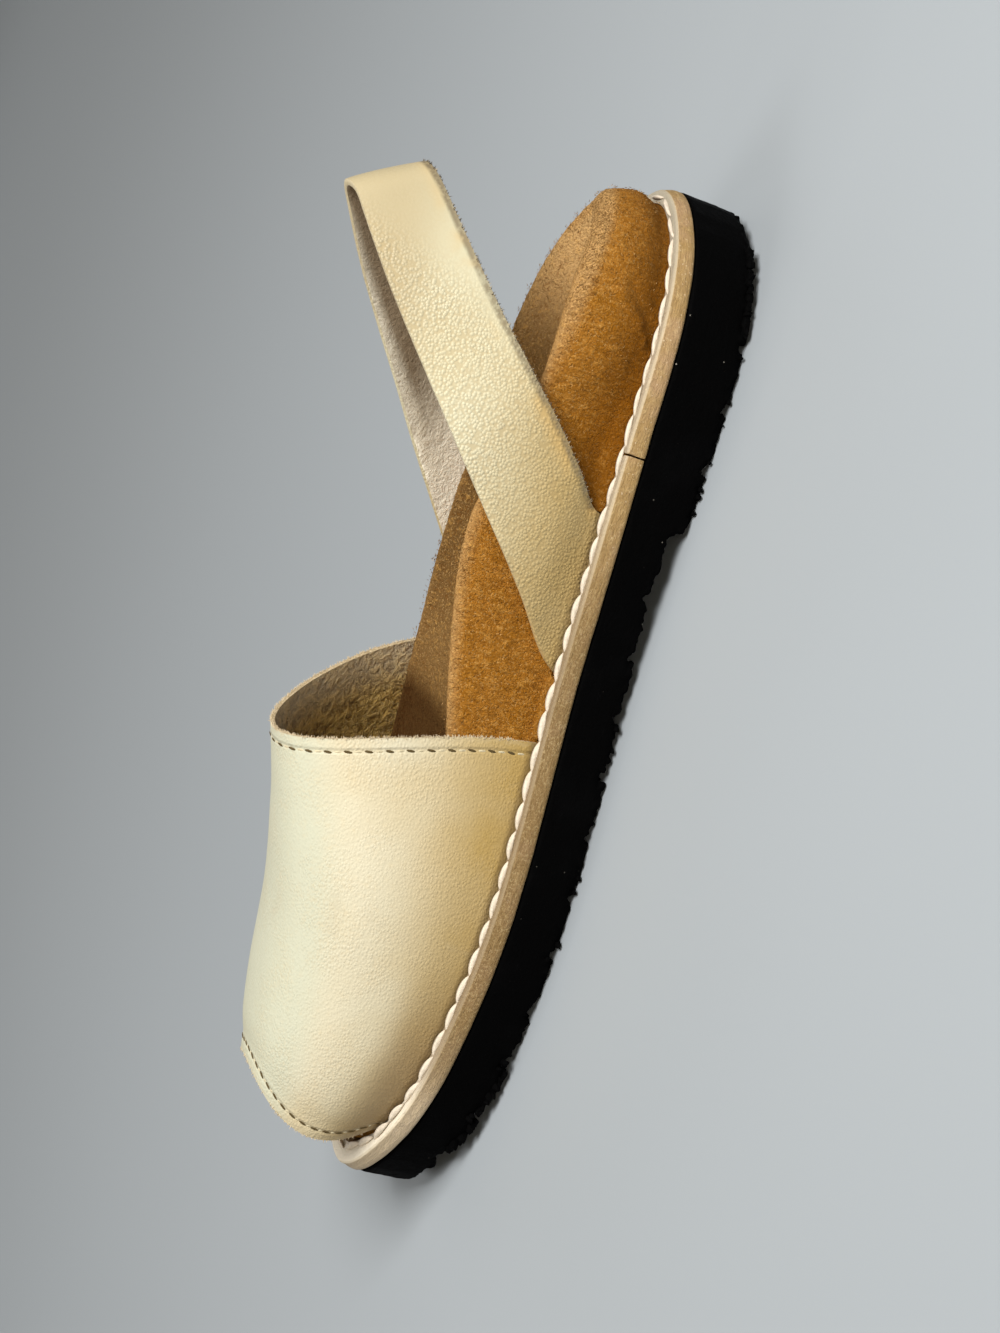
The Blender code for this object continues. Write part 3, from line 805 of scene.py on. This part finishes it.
class SANDAL_OT_welt(bpy.types.Operator):
    """Welt strip with a rounded upper edge, slightly uneven where it was cut by hand"""

    bl_idname = "sandal.welt"
    bl_label = "Welt strip"

    def execute(self, context):
        piece = copy_of("welt", "welt_strip")
        crease(piece, 30, 0.72)
        finish_with(piece, "SUBSURF", levels=3, render_levels=3)
        places = points_of(piece)
        normals = points_of(piece, "normal")
        rise = above_seat(places)
        line, _ = even_steps(welt_line(), 0.6 * MM, closed=True)
        station, off = beside(line, places)
        widest = np.zeros(len(line))
        np.maximum.at(widest, station, off)
        widest = np.max([np.roll(widest, k) for k in range(-3, 4)], axis=0)
        upward = ease(normals[:, 2], 0.45, 0.85)
        rounded = np.clip(1 - np.abs(normals[:, 2] - 0.6) / 0.45, 0, 1)
        brink = np.exp(-(((widest[station] - off) / (0.55 * MM)) ** 2))
        ahead = places[:, 0] / MM
        store(
            piece,
            height=rise / WELT_HIGH,
            top=upward,
            # corner: the rounded upper corner, where a painted highlight is laid.
            corner=np.maximum(rounded, brink * upward) * (off > 2.0 * MM),
            # ends: the toe end, where painted light is laid.
            ends=ease(ahead, 66, 106),
            back=1 - ease(ahead, -117, -96),
            waist=ease(ahead, -60, -10) * (1 - ease(ahead, 84, 104)),
        )
        # The side leans in towards its upper corner.
        lean = ease(rise / MM, 1.2, 4.6) * ramp(off, 1.6, 4.0)
        places = pushed(places, unit(line[station] * LEVEL - places * LEVEL), lean * 0.85)
        uneven = clouds(places, 11, 5.0) * 0.13 + clouds(places, 3.2, 2.0) * 0.05
        move_points(piece, pushed(places, normals, uneven))
        return settle(piece, "welt", welt_leather(colours()), angle=50, nodes=("welt",))


class SANDAL_OT_welt_stitches(bpy.types.Operator):
    """Plump waxed stitches that hold the upper and the footbed to the welt"""

    bl_idname = "sandal.welt_stitches"
    bl_label = "Welt stitches"

    def execute(self, context):
        draw = random.Random(4)
        long = sizes().welt_pitch * 1.13
        wide = sizes().welt_thread * 0.72
        stitch = strand(14, long, wide, wide * 0.78)
        places = points_of(stitch)
        share = places[:, 0] / (long / 2)
        slim = 1 - 0.50 * np.abs(share) ** 2.4
        places[:, 1] = places[:, 1] * slim + 0.26 * wide * share**2
        places[:, 2] = places[:, 2] * slim - 0.30 * wide * np.abs(share) ** 2.4
        move_points(stitch, places)
        # inner: the flank that faces the upper, where painted shade is laid.
        store(stitch, inner=1 - ease(places[:, 1] / wide, -0.42, -0.10))
        matrices = []
        for place, way in zip(*even_steps(welt_line(), sizes().welt_pitch, closed=True)):
            way = Vector(way)
            out = Vector((-way.y, way.x, 0.0)).normalized()
            skew = Matrix.Rotation(math.radians(draw.uniform(-2, 5)), 4, "Z")
            lift = (0.42 + draw.uniform(-0.08, 0.10) + 0.30 * ramp(place[0], 92, 104)) * MM
            at = Vector(place) + out * (1.25 + draw.uniform(-0.14, 0.14)) * MM + Vector((0, 0, lift))
            grow = draw.uniform(0.92, 1.06)
            slim = 0.68 + 0.26 * ramp(place[0], -80, -20)
            turned = facing(at, way, (out * 0.75 + UP).normalized())
            matrices.append(turned @ skew @ Matrix.Diagonal((grow, grow * slim, slim, 1.0)))
        piece = repeat(stitch, matrices, "welt_stitches")
        # Painted shade on the inner flank stops short of the toe tip.
        store(piece, beside_upper=1 - ramp(points_of(piece)[:, 0], 88, 102))
        return settle(piece, "vamp", waxed_thread("waxed_welt_thread", colours().thread, 3.0))


def drawn_down(places, normals):
    """The foot of the wall, spread out to the pieces round it, where the cover runs down to the stitches."""
    trees = [tree_of(NODES[name]) for name in ("welt", "vamp", "heel_strap")]
    spread = np.zeros(len(places))
    for k in np.flatnonzero((places[:, 2] < 26 * MM) & (np.abs(normals[:, 2]) < 0.8)):
        way = Vector((normals[k, 0], normals[k, 1], 0.0)).normalized()
        low = Vector((places[k, 0], places[k, 1], min(places[k, 2], 20.5 * MM)))
        aside = Vector((way.y, -way.x, 0.0)) * 0.9 * MM
        starts = (low - aside, low, low + aside)
        gaps = [tree.ray_cast(start, way, 4 * MM)[3] for tree in trees for start in starts]
        gaps = [gap for gap in gaps if gap is not None]
        if gaps:
            spread[k] = max(0.0, min(gaps) - 0.15 * MM)
    spread *= (1 - ramp(places[:, 2], 20.5, 25.5)) * (1 - ramp(places[:, 0], 54, 64))
    return places + unit(normals * LEVEL) * spread[:, None]


def rim_round(places, station, off, count):
    """Distance from the welt and height of the footbed's rim at each station round it."""
    reach, tops, averaged_over = 13 * MM, 4, 5
    rim = np.full((count, 2), np.nan)
    for k in range(count):
        here = np.flatnonzero((station == k) & (off < reach))
        if len(here):
            top = here[np.argsort(places[here, 2])[-tops:]]
            rim[k] = off[top].mean(), places[top, 2].mean()
    known = np.flatnonzero(~np.isnan(rim[:, 0]))
    rim = np.stack([np.interp(np.arange(count), known, rim[known, j]) for j in range(2)], axis=1)
    half = averaged_over // 2
    wrapped = np.vstack([rim[-half:], rim, rim[:half]])
    return sum(wrapped[k : k + count] for k in range(averaged_over)) / averaged_over


def creases(places):
    """Drawn folds in the cover: from, to, half width and height."""
    folds = [
        ((-97, 27, 33), (-92, 28, 27), 1.1, 0.95),
        ((-92, 28, 27), (-86, 29, 23), 1.0, 1.00),
        ((-100, 26, 31), (-93, 28, 24), 1.2, -0.80),
        ((-88, 28, 30), (-82, 29, 25), 1.3, -0.55),
        ((-106, 23, 35), (-104, 24, 27), 2.0, 0.35),
        ((-112, 18, 35), (-112, 20, 27), 1.8, -0.40),
        ((-76, 29, 33), (-70, 30, 26), 1.6, 0.25),
        ((-95, -27, 34), (-92, -28, 26), 2.0, 0.40),
        ((-106, -20, 35), (-104, -22, 26), 1.8, -0.30),
    ]
    height = np.zeros(len(places))
    for start, end, half, rise in folds:
        a = np.array(start) * MM
        b = np.array(end) * MM
        along = np.clip(((places - a) @ (b - a)) / ((b - a) @ (b - a)), 0, 1)
        away = np.linalg.norm(places - (a + along[:, None] * (b - a)), axis=1)
        height += rise * np.exp(-((away / (half * MM)) ** 2)) * (1 - 0.5 * along)
    return height


class SANDAL_OT_footbed(bpy.types.Operator):
    """Suede-covered footbed: soft rim, heel cup and a few creases where the cover was drawn over"""

    bl_idname = "sandal.footbed"
    bl_label = "Footbed"

    def execute(self, context):
        piece = copy_of("footbed", "footbed_suede")
        finish_with(piece, "SUBSURF", levels=3, render_levels=3)
        places = points_of(piece)
        normals = points_of(piece, "normal")
        x, y, z = places.T
        upward = normals[:, 2]
        heel = 1 - ramp(x, -60, -30)
        wall = ramp(z, 24, 30) * (1 - ease(upward, 0.5, 0.9))
        soft = clouds(places, 12, 1.0) * 0.30 + clouds(places, 5, 7.0) * 0.16
        nap = clouds(places, 1.6, 4.0) * 0.10 + clouds(places, 0.8, 8.0) * 0.05
        fuller = (1 - ramp(x, -96, -66)) * ramp(y, -4, 12)
        moved = soft * (0.5 + 0.8 * heel * wall) + nap
        moved += creases(places)
        moved += (1.25 * fuller - 0.25) * ramp(z, 23, 29)
        line, _ = even_steps(welt_line(), 3.0 * MM, closed=True)
        station, off = beside(line, places)
        crest = rim_round(places, station, off, len(line))
        past = off - crest[station, 0]
        far = ramp(-y, 4, 12)
        near_top = ramp(z - crest[station, 1], -4.0, -1.5)
        heelward = 1 - ramp(x, -108, -74)
        # The rim's ridge: paler worn suede and a painted highlight.
        lip = np.exp(-(((past / MM + 0.6 + 0.8 * heelward) / (1.6 + 2.2 * heelward)) ** 2))
        store(
            piece,
            heelward=heelward,
            # Towards the vamp, where the painted shadow under the vamp is laid.
            forward=ramp(x - 0.18 * y, 7, 16),
            tip=np.full(len(places), 0.5),
            hollow=ramp(past + 2.4 * MM * far, 0.2, 2.6) * ease(upward, 0.0, 0.3),
            lip=lip * near_top * (1 - 0.8 * far),
            # The lower wall of the heel half, where painted shade is laid.
            deep=(1 - ramp(z, 24, 39)) * (1 - ramp(x, -66, -20)),
            # waist: where the strap's painted shadow falls on the top.
            waist=ramp(x, -84, -62) * (1 - ramp(x, -24, 2)),
        )
        places = pushed(places, normals, moved * ramp(z, 15, 24))
        move_points(piece, drawn_down(places, normals))
        return settle(piece, "footbed", brushed_suede(colours()), nodes=("footbed",))


def tuft(draw):
    """Low fibres that lean along X."""
    long = 0.66 * MM
    bpy.ops.mesh.primitive_cone_add(vertices=3, radius1=0.09 * MM, radius2=0.0, depth=long)
    fibre = bpy.context.object
    x, y, z = points_of(fibre).T
    move_points(fibre, np.stack([z + long / 2, x, y], axis=1))
    matrices = []
    for _ in range(FIBRES_PER_TUFT):
        at = Vector((draw.uniform(-2.2, 2.2) * MM, draw.uniform(-2.2, 2.2) * MM, 0.0))
        rise = -math.radians(draw.uniform(4, 17))
        turn = Matrix.Rotation(draw.uniform(-0.7, 0.7), 4, "Z") @ Matrix.Rotation(rise, 4, "Y")
        size = Matrix.Diagonal((draw.uniform(0.6, 1.2), draw.uniform(0.6, 1.4), 0.8, 1.0))
        matrices.append(Matrix.Translation(at) @ turn @ size)
    return repeat(fibre, matrices, "tuft")


class SANDAL_OT_footbed_nap(bpy.types.Operator):
    """Short nap of the suede, brushed one way and swirled by handling"""

    bl_idname = "sandal.footbed_nap"
    bl_label = "Footbed nap"

    def execute(self, context):
        draw = random.Random(8)
        bed = bpy.data.objects["footbed_suede"].data
        low, front, brush = 23.5 * MM, 36 * MM, Vector((-0.7, 0.1, -0.7))
        shown = [f for f in bed.polygons if f.center.z > low and f.normal.z > -0.4 and f.center.x < front]
        matrices = []
        for face in draw.choices(shown, [f.area for f in shown], k=TUFTS):
            up = face.normal
            swirl = noise.noise(face.center / (13 * MM)) * 2.2 + noise.noise(face.center / (4 * MM)) * 1.2
            ahead = Matrix.Rotation(swirl, 3, up) @ (brush - up * up.dot(brush))
            size = Matrix.Scale(draw.uniform(0.8, 1.15), 4)
            matrices.append(facing(face.center - up * 0.1 * MM, ahead, up) @ size)
        piece = repeat(tuft(draw), matrices, "footbed_nap")
        tree = near([point.co for point in bed.vertices])
        nearest = [tree.find(point.co)[1] for point in piece.data.vertices]
        # The footbed's masks pass to the fibres, those for its painted light and shade among them.
        for name in ("hollow", "lip", "heelward", "forward", "deep", "waist"):
            below = np.empty(len(bed.vertices), np.float32)
            bed.attributes[name].data.foreach_get("value", below)
            store(piece, **{name: below[nearest]})
        points_each = 4
        tips = [draw.random() for _ in range(len(piece.data.vertices) // points_each)]
        store(piece, tip=np.repeat(tips, points_each))
        return settle(piece, "footbed", bed.materials[0])


def in_toe(place, normal):
    return normal.x > 0.35 and place.z > 16 * MM


def in_collar(place, normal):
    return normal.x < -0.35 and place.z > 16 * MM


class SANDAL_OT_vamp(bpy.types.Operator):
    """Vamp of cream leather, its raw collar and toe edges marked by a line of fine stitches"""

    bl_idname = "sandal.vamp"
    bl_label = "Vamp"

    def execute(self, context):
        piece = copy_of("vamp", "vamp_leather")
        sort_faces(piece, lambda p: Vector((0.0, p.y - 2 * MM, p.z - 26 * MM)), 1.9 * MM)
        skive(piece, 0.8 * MM, 18 * MM)
        crease(piece, 48, 0.82)
        finish_with(piece, "SUBSURF", levels=2, render_levels=2)
        places = points_of(piece)
        outward = unit((places - [0, 2 * MM, 24 * MM]) * [0, 1, 1])
        wave = clouds(places, 26, 2.0) * 0.28 + clouds(places, 11, 6.0) * 0.10
        wave *= ramp(places[:, 2], 24, 32)
        places = pushed(places, outward, wave)
        move_points(piece, places)
        # The toe opening turns out a little towards its edge, and is cut back on its outer side.
        opening = border(piece, in_toe)[0]
        away = distance_to([opening], places)
        flare = (1 - ramp(away, 0.0, 6)) * ramp(places[:, 2], 27, 38)
        trimmed = (1 - ramp(away, 0.0, 14)) * (1 - ramp(places[:, 1], 2, 22))
        move_points(piece, pushed(places, outward, flare * 0.8) - [2.4 * MM, 0, 0] * trimmed[:, None])
        collar = border(piece, in_collar)[0]
        toe = border(piece, in_toe)[0]
        places = points_of(piece)
        off = distance_to([welt_line()], places)
        reach = 35 - 17 * ramp(places[:, 0], 36, 88)
        store(
            piece,
            rim=np.minimum(distance_to([collar, toe], places) / MM, 30.0),
            # low: how near the welt, where painted shade is laid.
            low=1 - ease(off / MM, 2.0, reach),
            # Upward-facing surfaces, where painted shade is laid.
            crown=ease(points_of(piece, "normal")[:, 2], 0.45, 0.80),
            toe_shade=(1 - ramp(off, 5, 17)) * ramp(places[:, 0], 56, 96),
            # seam: beside the welt stitches, where a painted contact shadow is laid.
            seam=1 - ramp(off, 0.7, 1.9),
        )
        piece["collar"] = collar.ravel().tolist()
        piece["toe"] = toe.ravel().tolist()
        grain = cream_grain(colours(), "vamp_cream_leather", False)
        flesh = flesh_side(colours(), "vamp_flesh", 0.0)
        return settle(piece, "vamp", grain, flesh, cut_leather(), angle=60, nodes=("vamp",))


def seam(tree, edge, at_toe, pitch):
    """Where each stitch sits: its place on the leather, the way it runs and the way up."""
    inward = Vector((-1, 0, 0)) if at_toe else Vector((1, 0, 0))
    first, steps = 0.5 * MM, 4
    line = []
    for place, ahead in zip(*even_steps(edge, 1.0 * MM)):
        at, up, _, _ = tree.find_nearest(Vector(place) + inward * 0.7 * MM)
        into = up.cross(Vector(ahead))
        if into.dot(inward) < 0:
            into = -into
        for _ in range(steps):
            at = at + into * (sizes().fine_margin - first) / steps
            at, up, _, _ = tree.find_nearest(at)
            into = (into - up * into.dot(up)).normalized()
        line.append(at)
    seats = []
    for place, ahead in zip(*even_steps(np.array(line), pitch)):
        place, up, _, _ = tree.find_nearest(Vector(place))
        seats.append((place, Vector(ahead), up))
    return seats


def stitch(pitch):
    """One stitch: a thin waxed strand that dives into the leather at both ends."""
    long = pitch - 1.35 * MM
    wide = sizes().fine_thread
    piece = strand(10, long, wide, wide * 0.8)
    places = points_of(piece)
    share = places[:, 0] / (long / 2)
    places[:, 2] -= wide * (0.27 + 0.5 * np.abs(share) ** 3)
    move_points(piece, places)
    return piece


def needle_hole():
    """A dark slit laid on the leather between two stitches, as painted shade for the needle hole."""
    bpy.ops.mesh.primitive_uv_sphere_add(segments=10, ring_count=6, radius=0.5)
    slit = edit_all(bpy.ops.transform.resize, value=(2.1 * MM, 0.62 * MM, 0.20 * MM))
    move_points(slit, points_of(slit) + [0, 0, 0.02 * MM])
    return slit


class SANDAL_OT_fine_stitches(bpy.types.Operator):
    """Fine stitching along the collar and the toe of the vamp, each stitch sunk in at its needle holes, which
    are dark slits of painted shade
    """

    bl_idname = "sandal.fine_stitches"
    bl_label = "Fine stitches"

    def execute(self, context):
        vamp = bpy.data.objects["vamp_leather"]
        tree = tree_of(vamp)
        thread = waxed_thread("fine_vamp_thread", (0.60, 0.53, 0.36), 2.0)
        # Painted shade for the needle holes: dark slits laid on the leather.
        hole = Paint("needle_hole", 0.9, 0.1)
        hole.base = hole.blend(hole.cloud(0.4), (0.055, 0.038, 0.014), (0.14, 0.10, 0.045))
        hole.finished()
        turn = Matrix.Rotation(-0.20, 4, "Z")
        for key, pitch in (("collar", sizes().collar_pitch), ("toe", sizes().toe_pitch)):
            edge = np.array(list(vamp[key])).reshape(-1, 3)
            seats = seam(tree, edge[edge[:, 2] > 18.5 * MM], key == "toe", pitch)
            matrices = [facing(place, ahead, up) for place, ahead, up in seats]
            settle(repeat(stitch(pitch), matrices, key + "_stitches"), "vamp", thread)
            matrices = [facing(place + ahead * pitch / 2, ahead, up) @ turn for place, ahead, up in seats]
            settle(repeat(needle_hole(), matrices, key + "_needle_holes"), "vamp", hole.material)
        return {"FINISHED"}


class SANDAL_OT_heel_strap(bpy.types.Operator):
    """Heel strap of pebbled cream leather, rolled on its upper edge and raw on its lower one"""

    bl_idname = "sandal.heel_strap"
    bl_label = "Heel strap"

    def execute(self, context):
        piece = copy_of("heel_strap", "heel_strap_leather")
        middle = -45 * MM
        sort_faces(piece, lambda p: Vector((min(0.0, p.x - middle), p.y, 0.0)), 2.6 * MM)
        for face in piece.data.polygons:
            if face.material_index == CUT and face.normal.x > 0.25:
                face.material_index = GRAIN
        skive(piece, 0.9 * MM, 24 * MM)
        crease(piece, 48, 0.50)
        finish_with(piece, "SUBSURF", levels=2, render_levels=2)
        places = points_of(piece)
        wave = clouds(places, 16, 3.0) * 0.16 + clouds(places, 5, 8.0) * 0.05
        wave *= ramp(places[:, 2], 24, 36)
        places = pushed(places, points_of(piece, "normal"), wave)
        move_points(piece, places)
        x, _, z = places.T
        raw = border(piece, lambda p, n: p.z > 24 * MM)
        rim = distance_to(raw, places)
        width = np.percentile(rim[z > 50 * MM], 98)
        off = distance_to([welt_line()], places)
        turn = 1 - ramp(x + 0.33 * (z - 64.5 * MM), -92, -80)
        pulled = (1 - ramp(rim, 2.5, 6)) * ramp(z, 50, 62)
        store(
            piece,
            # The top of the strap, where painted shade is laid.
            stretch=ramp(z, 66, 86),
            smooth=np.maximum(turn, 0.7 * pulled),
            rim=np.minimum(rim / MM, 30.0),
            # Painted shadow on the inner side of the upper loop, away from the rolled edge.
            heel_worn=ramp(width - rim, 1.5, 5) * ramp(z, 42, 62),
            grime=0.6 + 0.4 * ramp(z, 60, 84),
            # low: how near the welt, where painted shade is laid.
            low=1 - ramp(off, 4, 40),
            # seam: beside the welt stitches, where a painted contact shadow is laid.
            seam=1 - ramp(off, 0.7, 1.9),
        )
        piece["raw"] = np.vstack([even_steps(run, 0.2 * MM)[0] for run in raw]).ravel().tolist()
        grain = cream_grain(colours(), "strap_pebbled_leather", True)
        # The strap's flesh side is painted almost evenly pale, as painted light.
        flesh = flesh_side(colours(), "strap_flesh", 0.92)
        return settle(piece, "heel_strap", grain, flesh, cut_leather(), angle=60, nodes=("heel_strap",))


def fibre(long):
    """One fibre along X, curled aside."""
    bpy.ops.mesh.primitive_cone_add(vertices=4, radius1=0.12 * MM, radius2=0.03 * MM, depth=long)
    piece = edit_all(bpy.ops.mesh.subdivide, number_cuts=1)
    x, y, z = points_of(piece).T
    along = z / long + 0.5
    move_points(piece, np.stack([along * long, x + 0.25 * MM * along**2, y], axis=1))
    return piece


class SANDAL_OT_edge_fibres(bpy.types.Operator):
    """Loose fibres that stand off the raw edges of the vamp and of the strap"""

    bl_idname = "sandal.edge_fibres"
    bl_label = "Edge fibres"

    def execute(self, context):
        draw = random.Random(23)
        edges = [
            ("collar_fibres", "vamp", "collar", Vector((-1, 0, 0)), COLLAR_FIBRES),
            ("toe_fibres", "vamp", "toe", Vector((1, 0, 0)), TOE_FIBRES),
            ("strap_fibres", "heel_strap", "raw", Vector((-0.8, 0, -0.6)), STRAP_FIBRES),
        ]
        paint = Paint("leather_fibre", 0.9, 0.2, 0.3)
        paint.base = paint.blend(paint.cloud(3), (0.72, 0.62, 0.44), (0.46, 0.36, 0.22))
        paint.lay(paint.stored("grime"), (0.06, 0.045, 0.025))
        paint.finished()
        for name, slot, key, off, count in edges:
            holder = bpy.data.objects[slot + "_leather"]
            tree = tree_of(holder)
            edge = np.array(list(holder[key])).reshape(-1, 3)
            edge = edge[edge[:, 2] > 24 * MM]
            places = edge if key == "raw" else even_steps(edge, 0.2 * MM)[0]
            matrices = []
            for _ in range(count):
                at = Vector(places[draw.randrange(len(places))]) + off * 0.1 * MM
                at += Vector([draw.uniform(-0.5, 0.5) * MM for _ in range(3)])
                at, normal, _, _ = tree.find_nearest(at)
                lean = normal * 0.5 + off + Vector([draw.uniform(-0.8, 0.8) for _ in range(3)])
                size = Matrix.Diagonal((draw.uniform(0.35, 1.0), 1.0, 1.0, 1.0))
                matrices.append(facing(at - normal * 0.05 * MM, lean, Vector((0.1, 0.2, 1))) @ size)
            piece = repeat(fibre(sizes().fibre), matrices, name)
            if key == "raw":
                soiled = [draw.choice((0.3, 0.9, 1.0)) for _ in matrices]
                store(piece, grime=np.repeat(soiled, len(piece.data.vertices) // len(matrices)))
            settle(piece, slot, paint.material)
        return {"FINISHED"}


def light(name, place, aim, power, size, colour):
    """A soft rectangular light at a place, aimed at another."""
    data = bpy.data.lights.new(name, "AREA")
    data.shape = "RECTANGLE"
    data.size, data.size_y = size
    data.energy = power
    data.color = colour
    lamp = bpy.data.objects.new(name, data)
    lamp.location = place
    lamp.rotation_mode = "QUATERNION"
    lamp.rotation_quaternion = (Vector(aim) - Vector(place)).to_track_quat("-Z", "Y")
    bpy.context.scene.collection.objects.link(lamp)


class SANDAL_OT_stage(bpy.types.Operator):
    """Plain pale floor, soft overhead light and the camera"""

    bl_idname = "sandal.stage"
    bl_label = "Stage"

    def execute(self, context):
        scene = context.scene
        settings = scene.studio
        bpy.ops.object.select_all(action="DESELECT")
        bpy.ops.mesh.primitive_plane_add(size=12.0, location=(0.0, 0.0, 0.0))
        floor = context.object
        floor.name = "studio_floor"
        paint = Paint("studio_floor_paint", 0.75, 0.2)
        paint.base = paint.blend(paint.cloud(500), settings.floor, tuple(c * 0.95 for c in settings.floor))
        floor.data.materials.append(paint.finished())
        warm, pale = (1.0, 0.88, 0.70), (1.0, 0.97, 0.93)
        over, under = (0.0, 0.0, 0.03), (0.0, 0.0, 0.01)
        light("key_light", (-0.39, 0.44, 0.85), over, settings.key_power, (0.60, 0.50), (1.0, 0.97, 0.92))
        light("fill_light", (-0.15, 1.5, 0.42), under, settings.fill_power, (1.3, 0.5), warm)
        light("side_light", (0.10, -1.30, 0.60), over, 2.5, (0.9, 0.5), pale)
        light("toe_light", (0.48, -0.02, 0.72), (0.11, 0.0, 0.02), 2.2, (0.35, 0.35), pale)
        world = bpy.data.worlds.new("studio_air")
        world.use_nodes = True
        background = world.node_tree.nodes["Background"].inputs
        background["Color"].default_value = (*warm, 1.0)
        background["Strength"].default_value = 0.10
        scene.world = world
        scene.view_settings.view_transform = "Standard"
        data = bpy.data.cameras.new("camera")
        data.lens = settings.lens
        data.sensor_width = 36.0
        data.clip_start = 0.02
        data.clip_end = 30.0
        camera = bpy.data.objects.new("camera", data)
        place = Vector((-0.0729, 0.5765, 0.2647))
        aim = Vector((-0.0032, 0.0, 0.0200))
        back = (place - aim).normalized()
        across = Vector((-0.9400, -0.2231, 0.2580)).cross(back).normalized()
        turn = Matrix((across, back.cross(across), back)).transposed().to_4x4()
        camera.matrix_world = Matrix.Translation(place) @ turn
        scene.collection.objects.link(camera)
        scene.camera = camera
        return {"FINISHED"}


STEPS = (
    SANDAL_OT_outsole,
    SANDAL_OT_tread_nibs,
    SANDAL_OT_welt,
    SANDAL_OT_footbed,
    SANDAL_OT_footbed_nap,
    SANDAL_OT_vamp,
    SANDAL_OT_heel_strap,
    SANDAL_OT_fine_stitches,
    SANDAL_OT_welt_stitches,
    SANDAL_OT_edge_fibres,
    SANDAL_OT_stage,
)


class SANDAL_PT_panel(bpy.types.Panel):
    """The steps that make the sandal"""

    bl_idname = "SANDAL_PT_panel"
    bl_label = "Slingback sandal"
    bl_space_type = "VIEW_3D"
    bl_region_type = "UI"
    bl_category = "Sandal"

    def draw(self, context):
        for step in STEPS:
            self.layout.operator(step.bl_idname)
        for group in (context.scene.sandal_sizes, context.scene.sandal_colours, context.scene.studio):
            box = self.layout.box()
            for key in group.__annotations__:
                box.prop(group, key)


CLASSES = (SandalSizes, SandalColours, StudioSettings, *STEPS, SANDAL_PT_panel)


def register():
    for item in CLASSES:
        bpy.utils.register_class(item)
    bpy.types.Scene.sandal_sizes = bpy.props.PointerProperty(type=SandalSizes)
    bpy.types.Scene.sandal_colours = bpy.props.PointerProperty(type=SandalColours)
    bpy.types.Scene.studio = bpy.props.PointerProperty(type=StudioSettings)


def unregister():
    del bpy.types.Scene.studio
    del bpy.types.Scene.sandal_colours
    del bpy.types.Scene.sandal_sizes
    for item in reversed(CLASSES):
        bpy.utils.unregister_class(item)


def main():
    register()
    bpy.ops.sandal.outsole()
    bpy.ops.sandal.tread_nibs()
    bpy.ops.sandal.welt()
    bpy.ops.sandal.footbed()
    bpy.ops.sandal.footbed_nap()
    bpy.ops.sandal.vamp()
    bpy.ops.sandal.heel_strap()
    bpy.ops.sandal.fine_stitches()
    bpy.ops.sandal.welt_stitches()
    bpy.ops.sandal.edge_fibres()
    bpy.ops.sandal.stage()


if __name__ == "__main__":
    main()
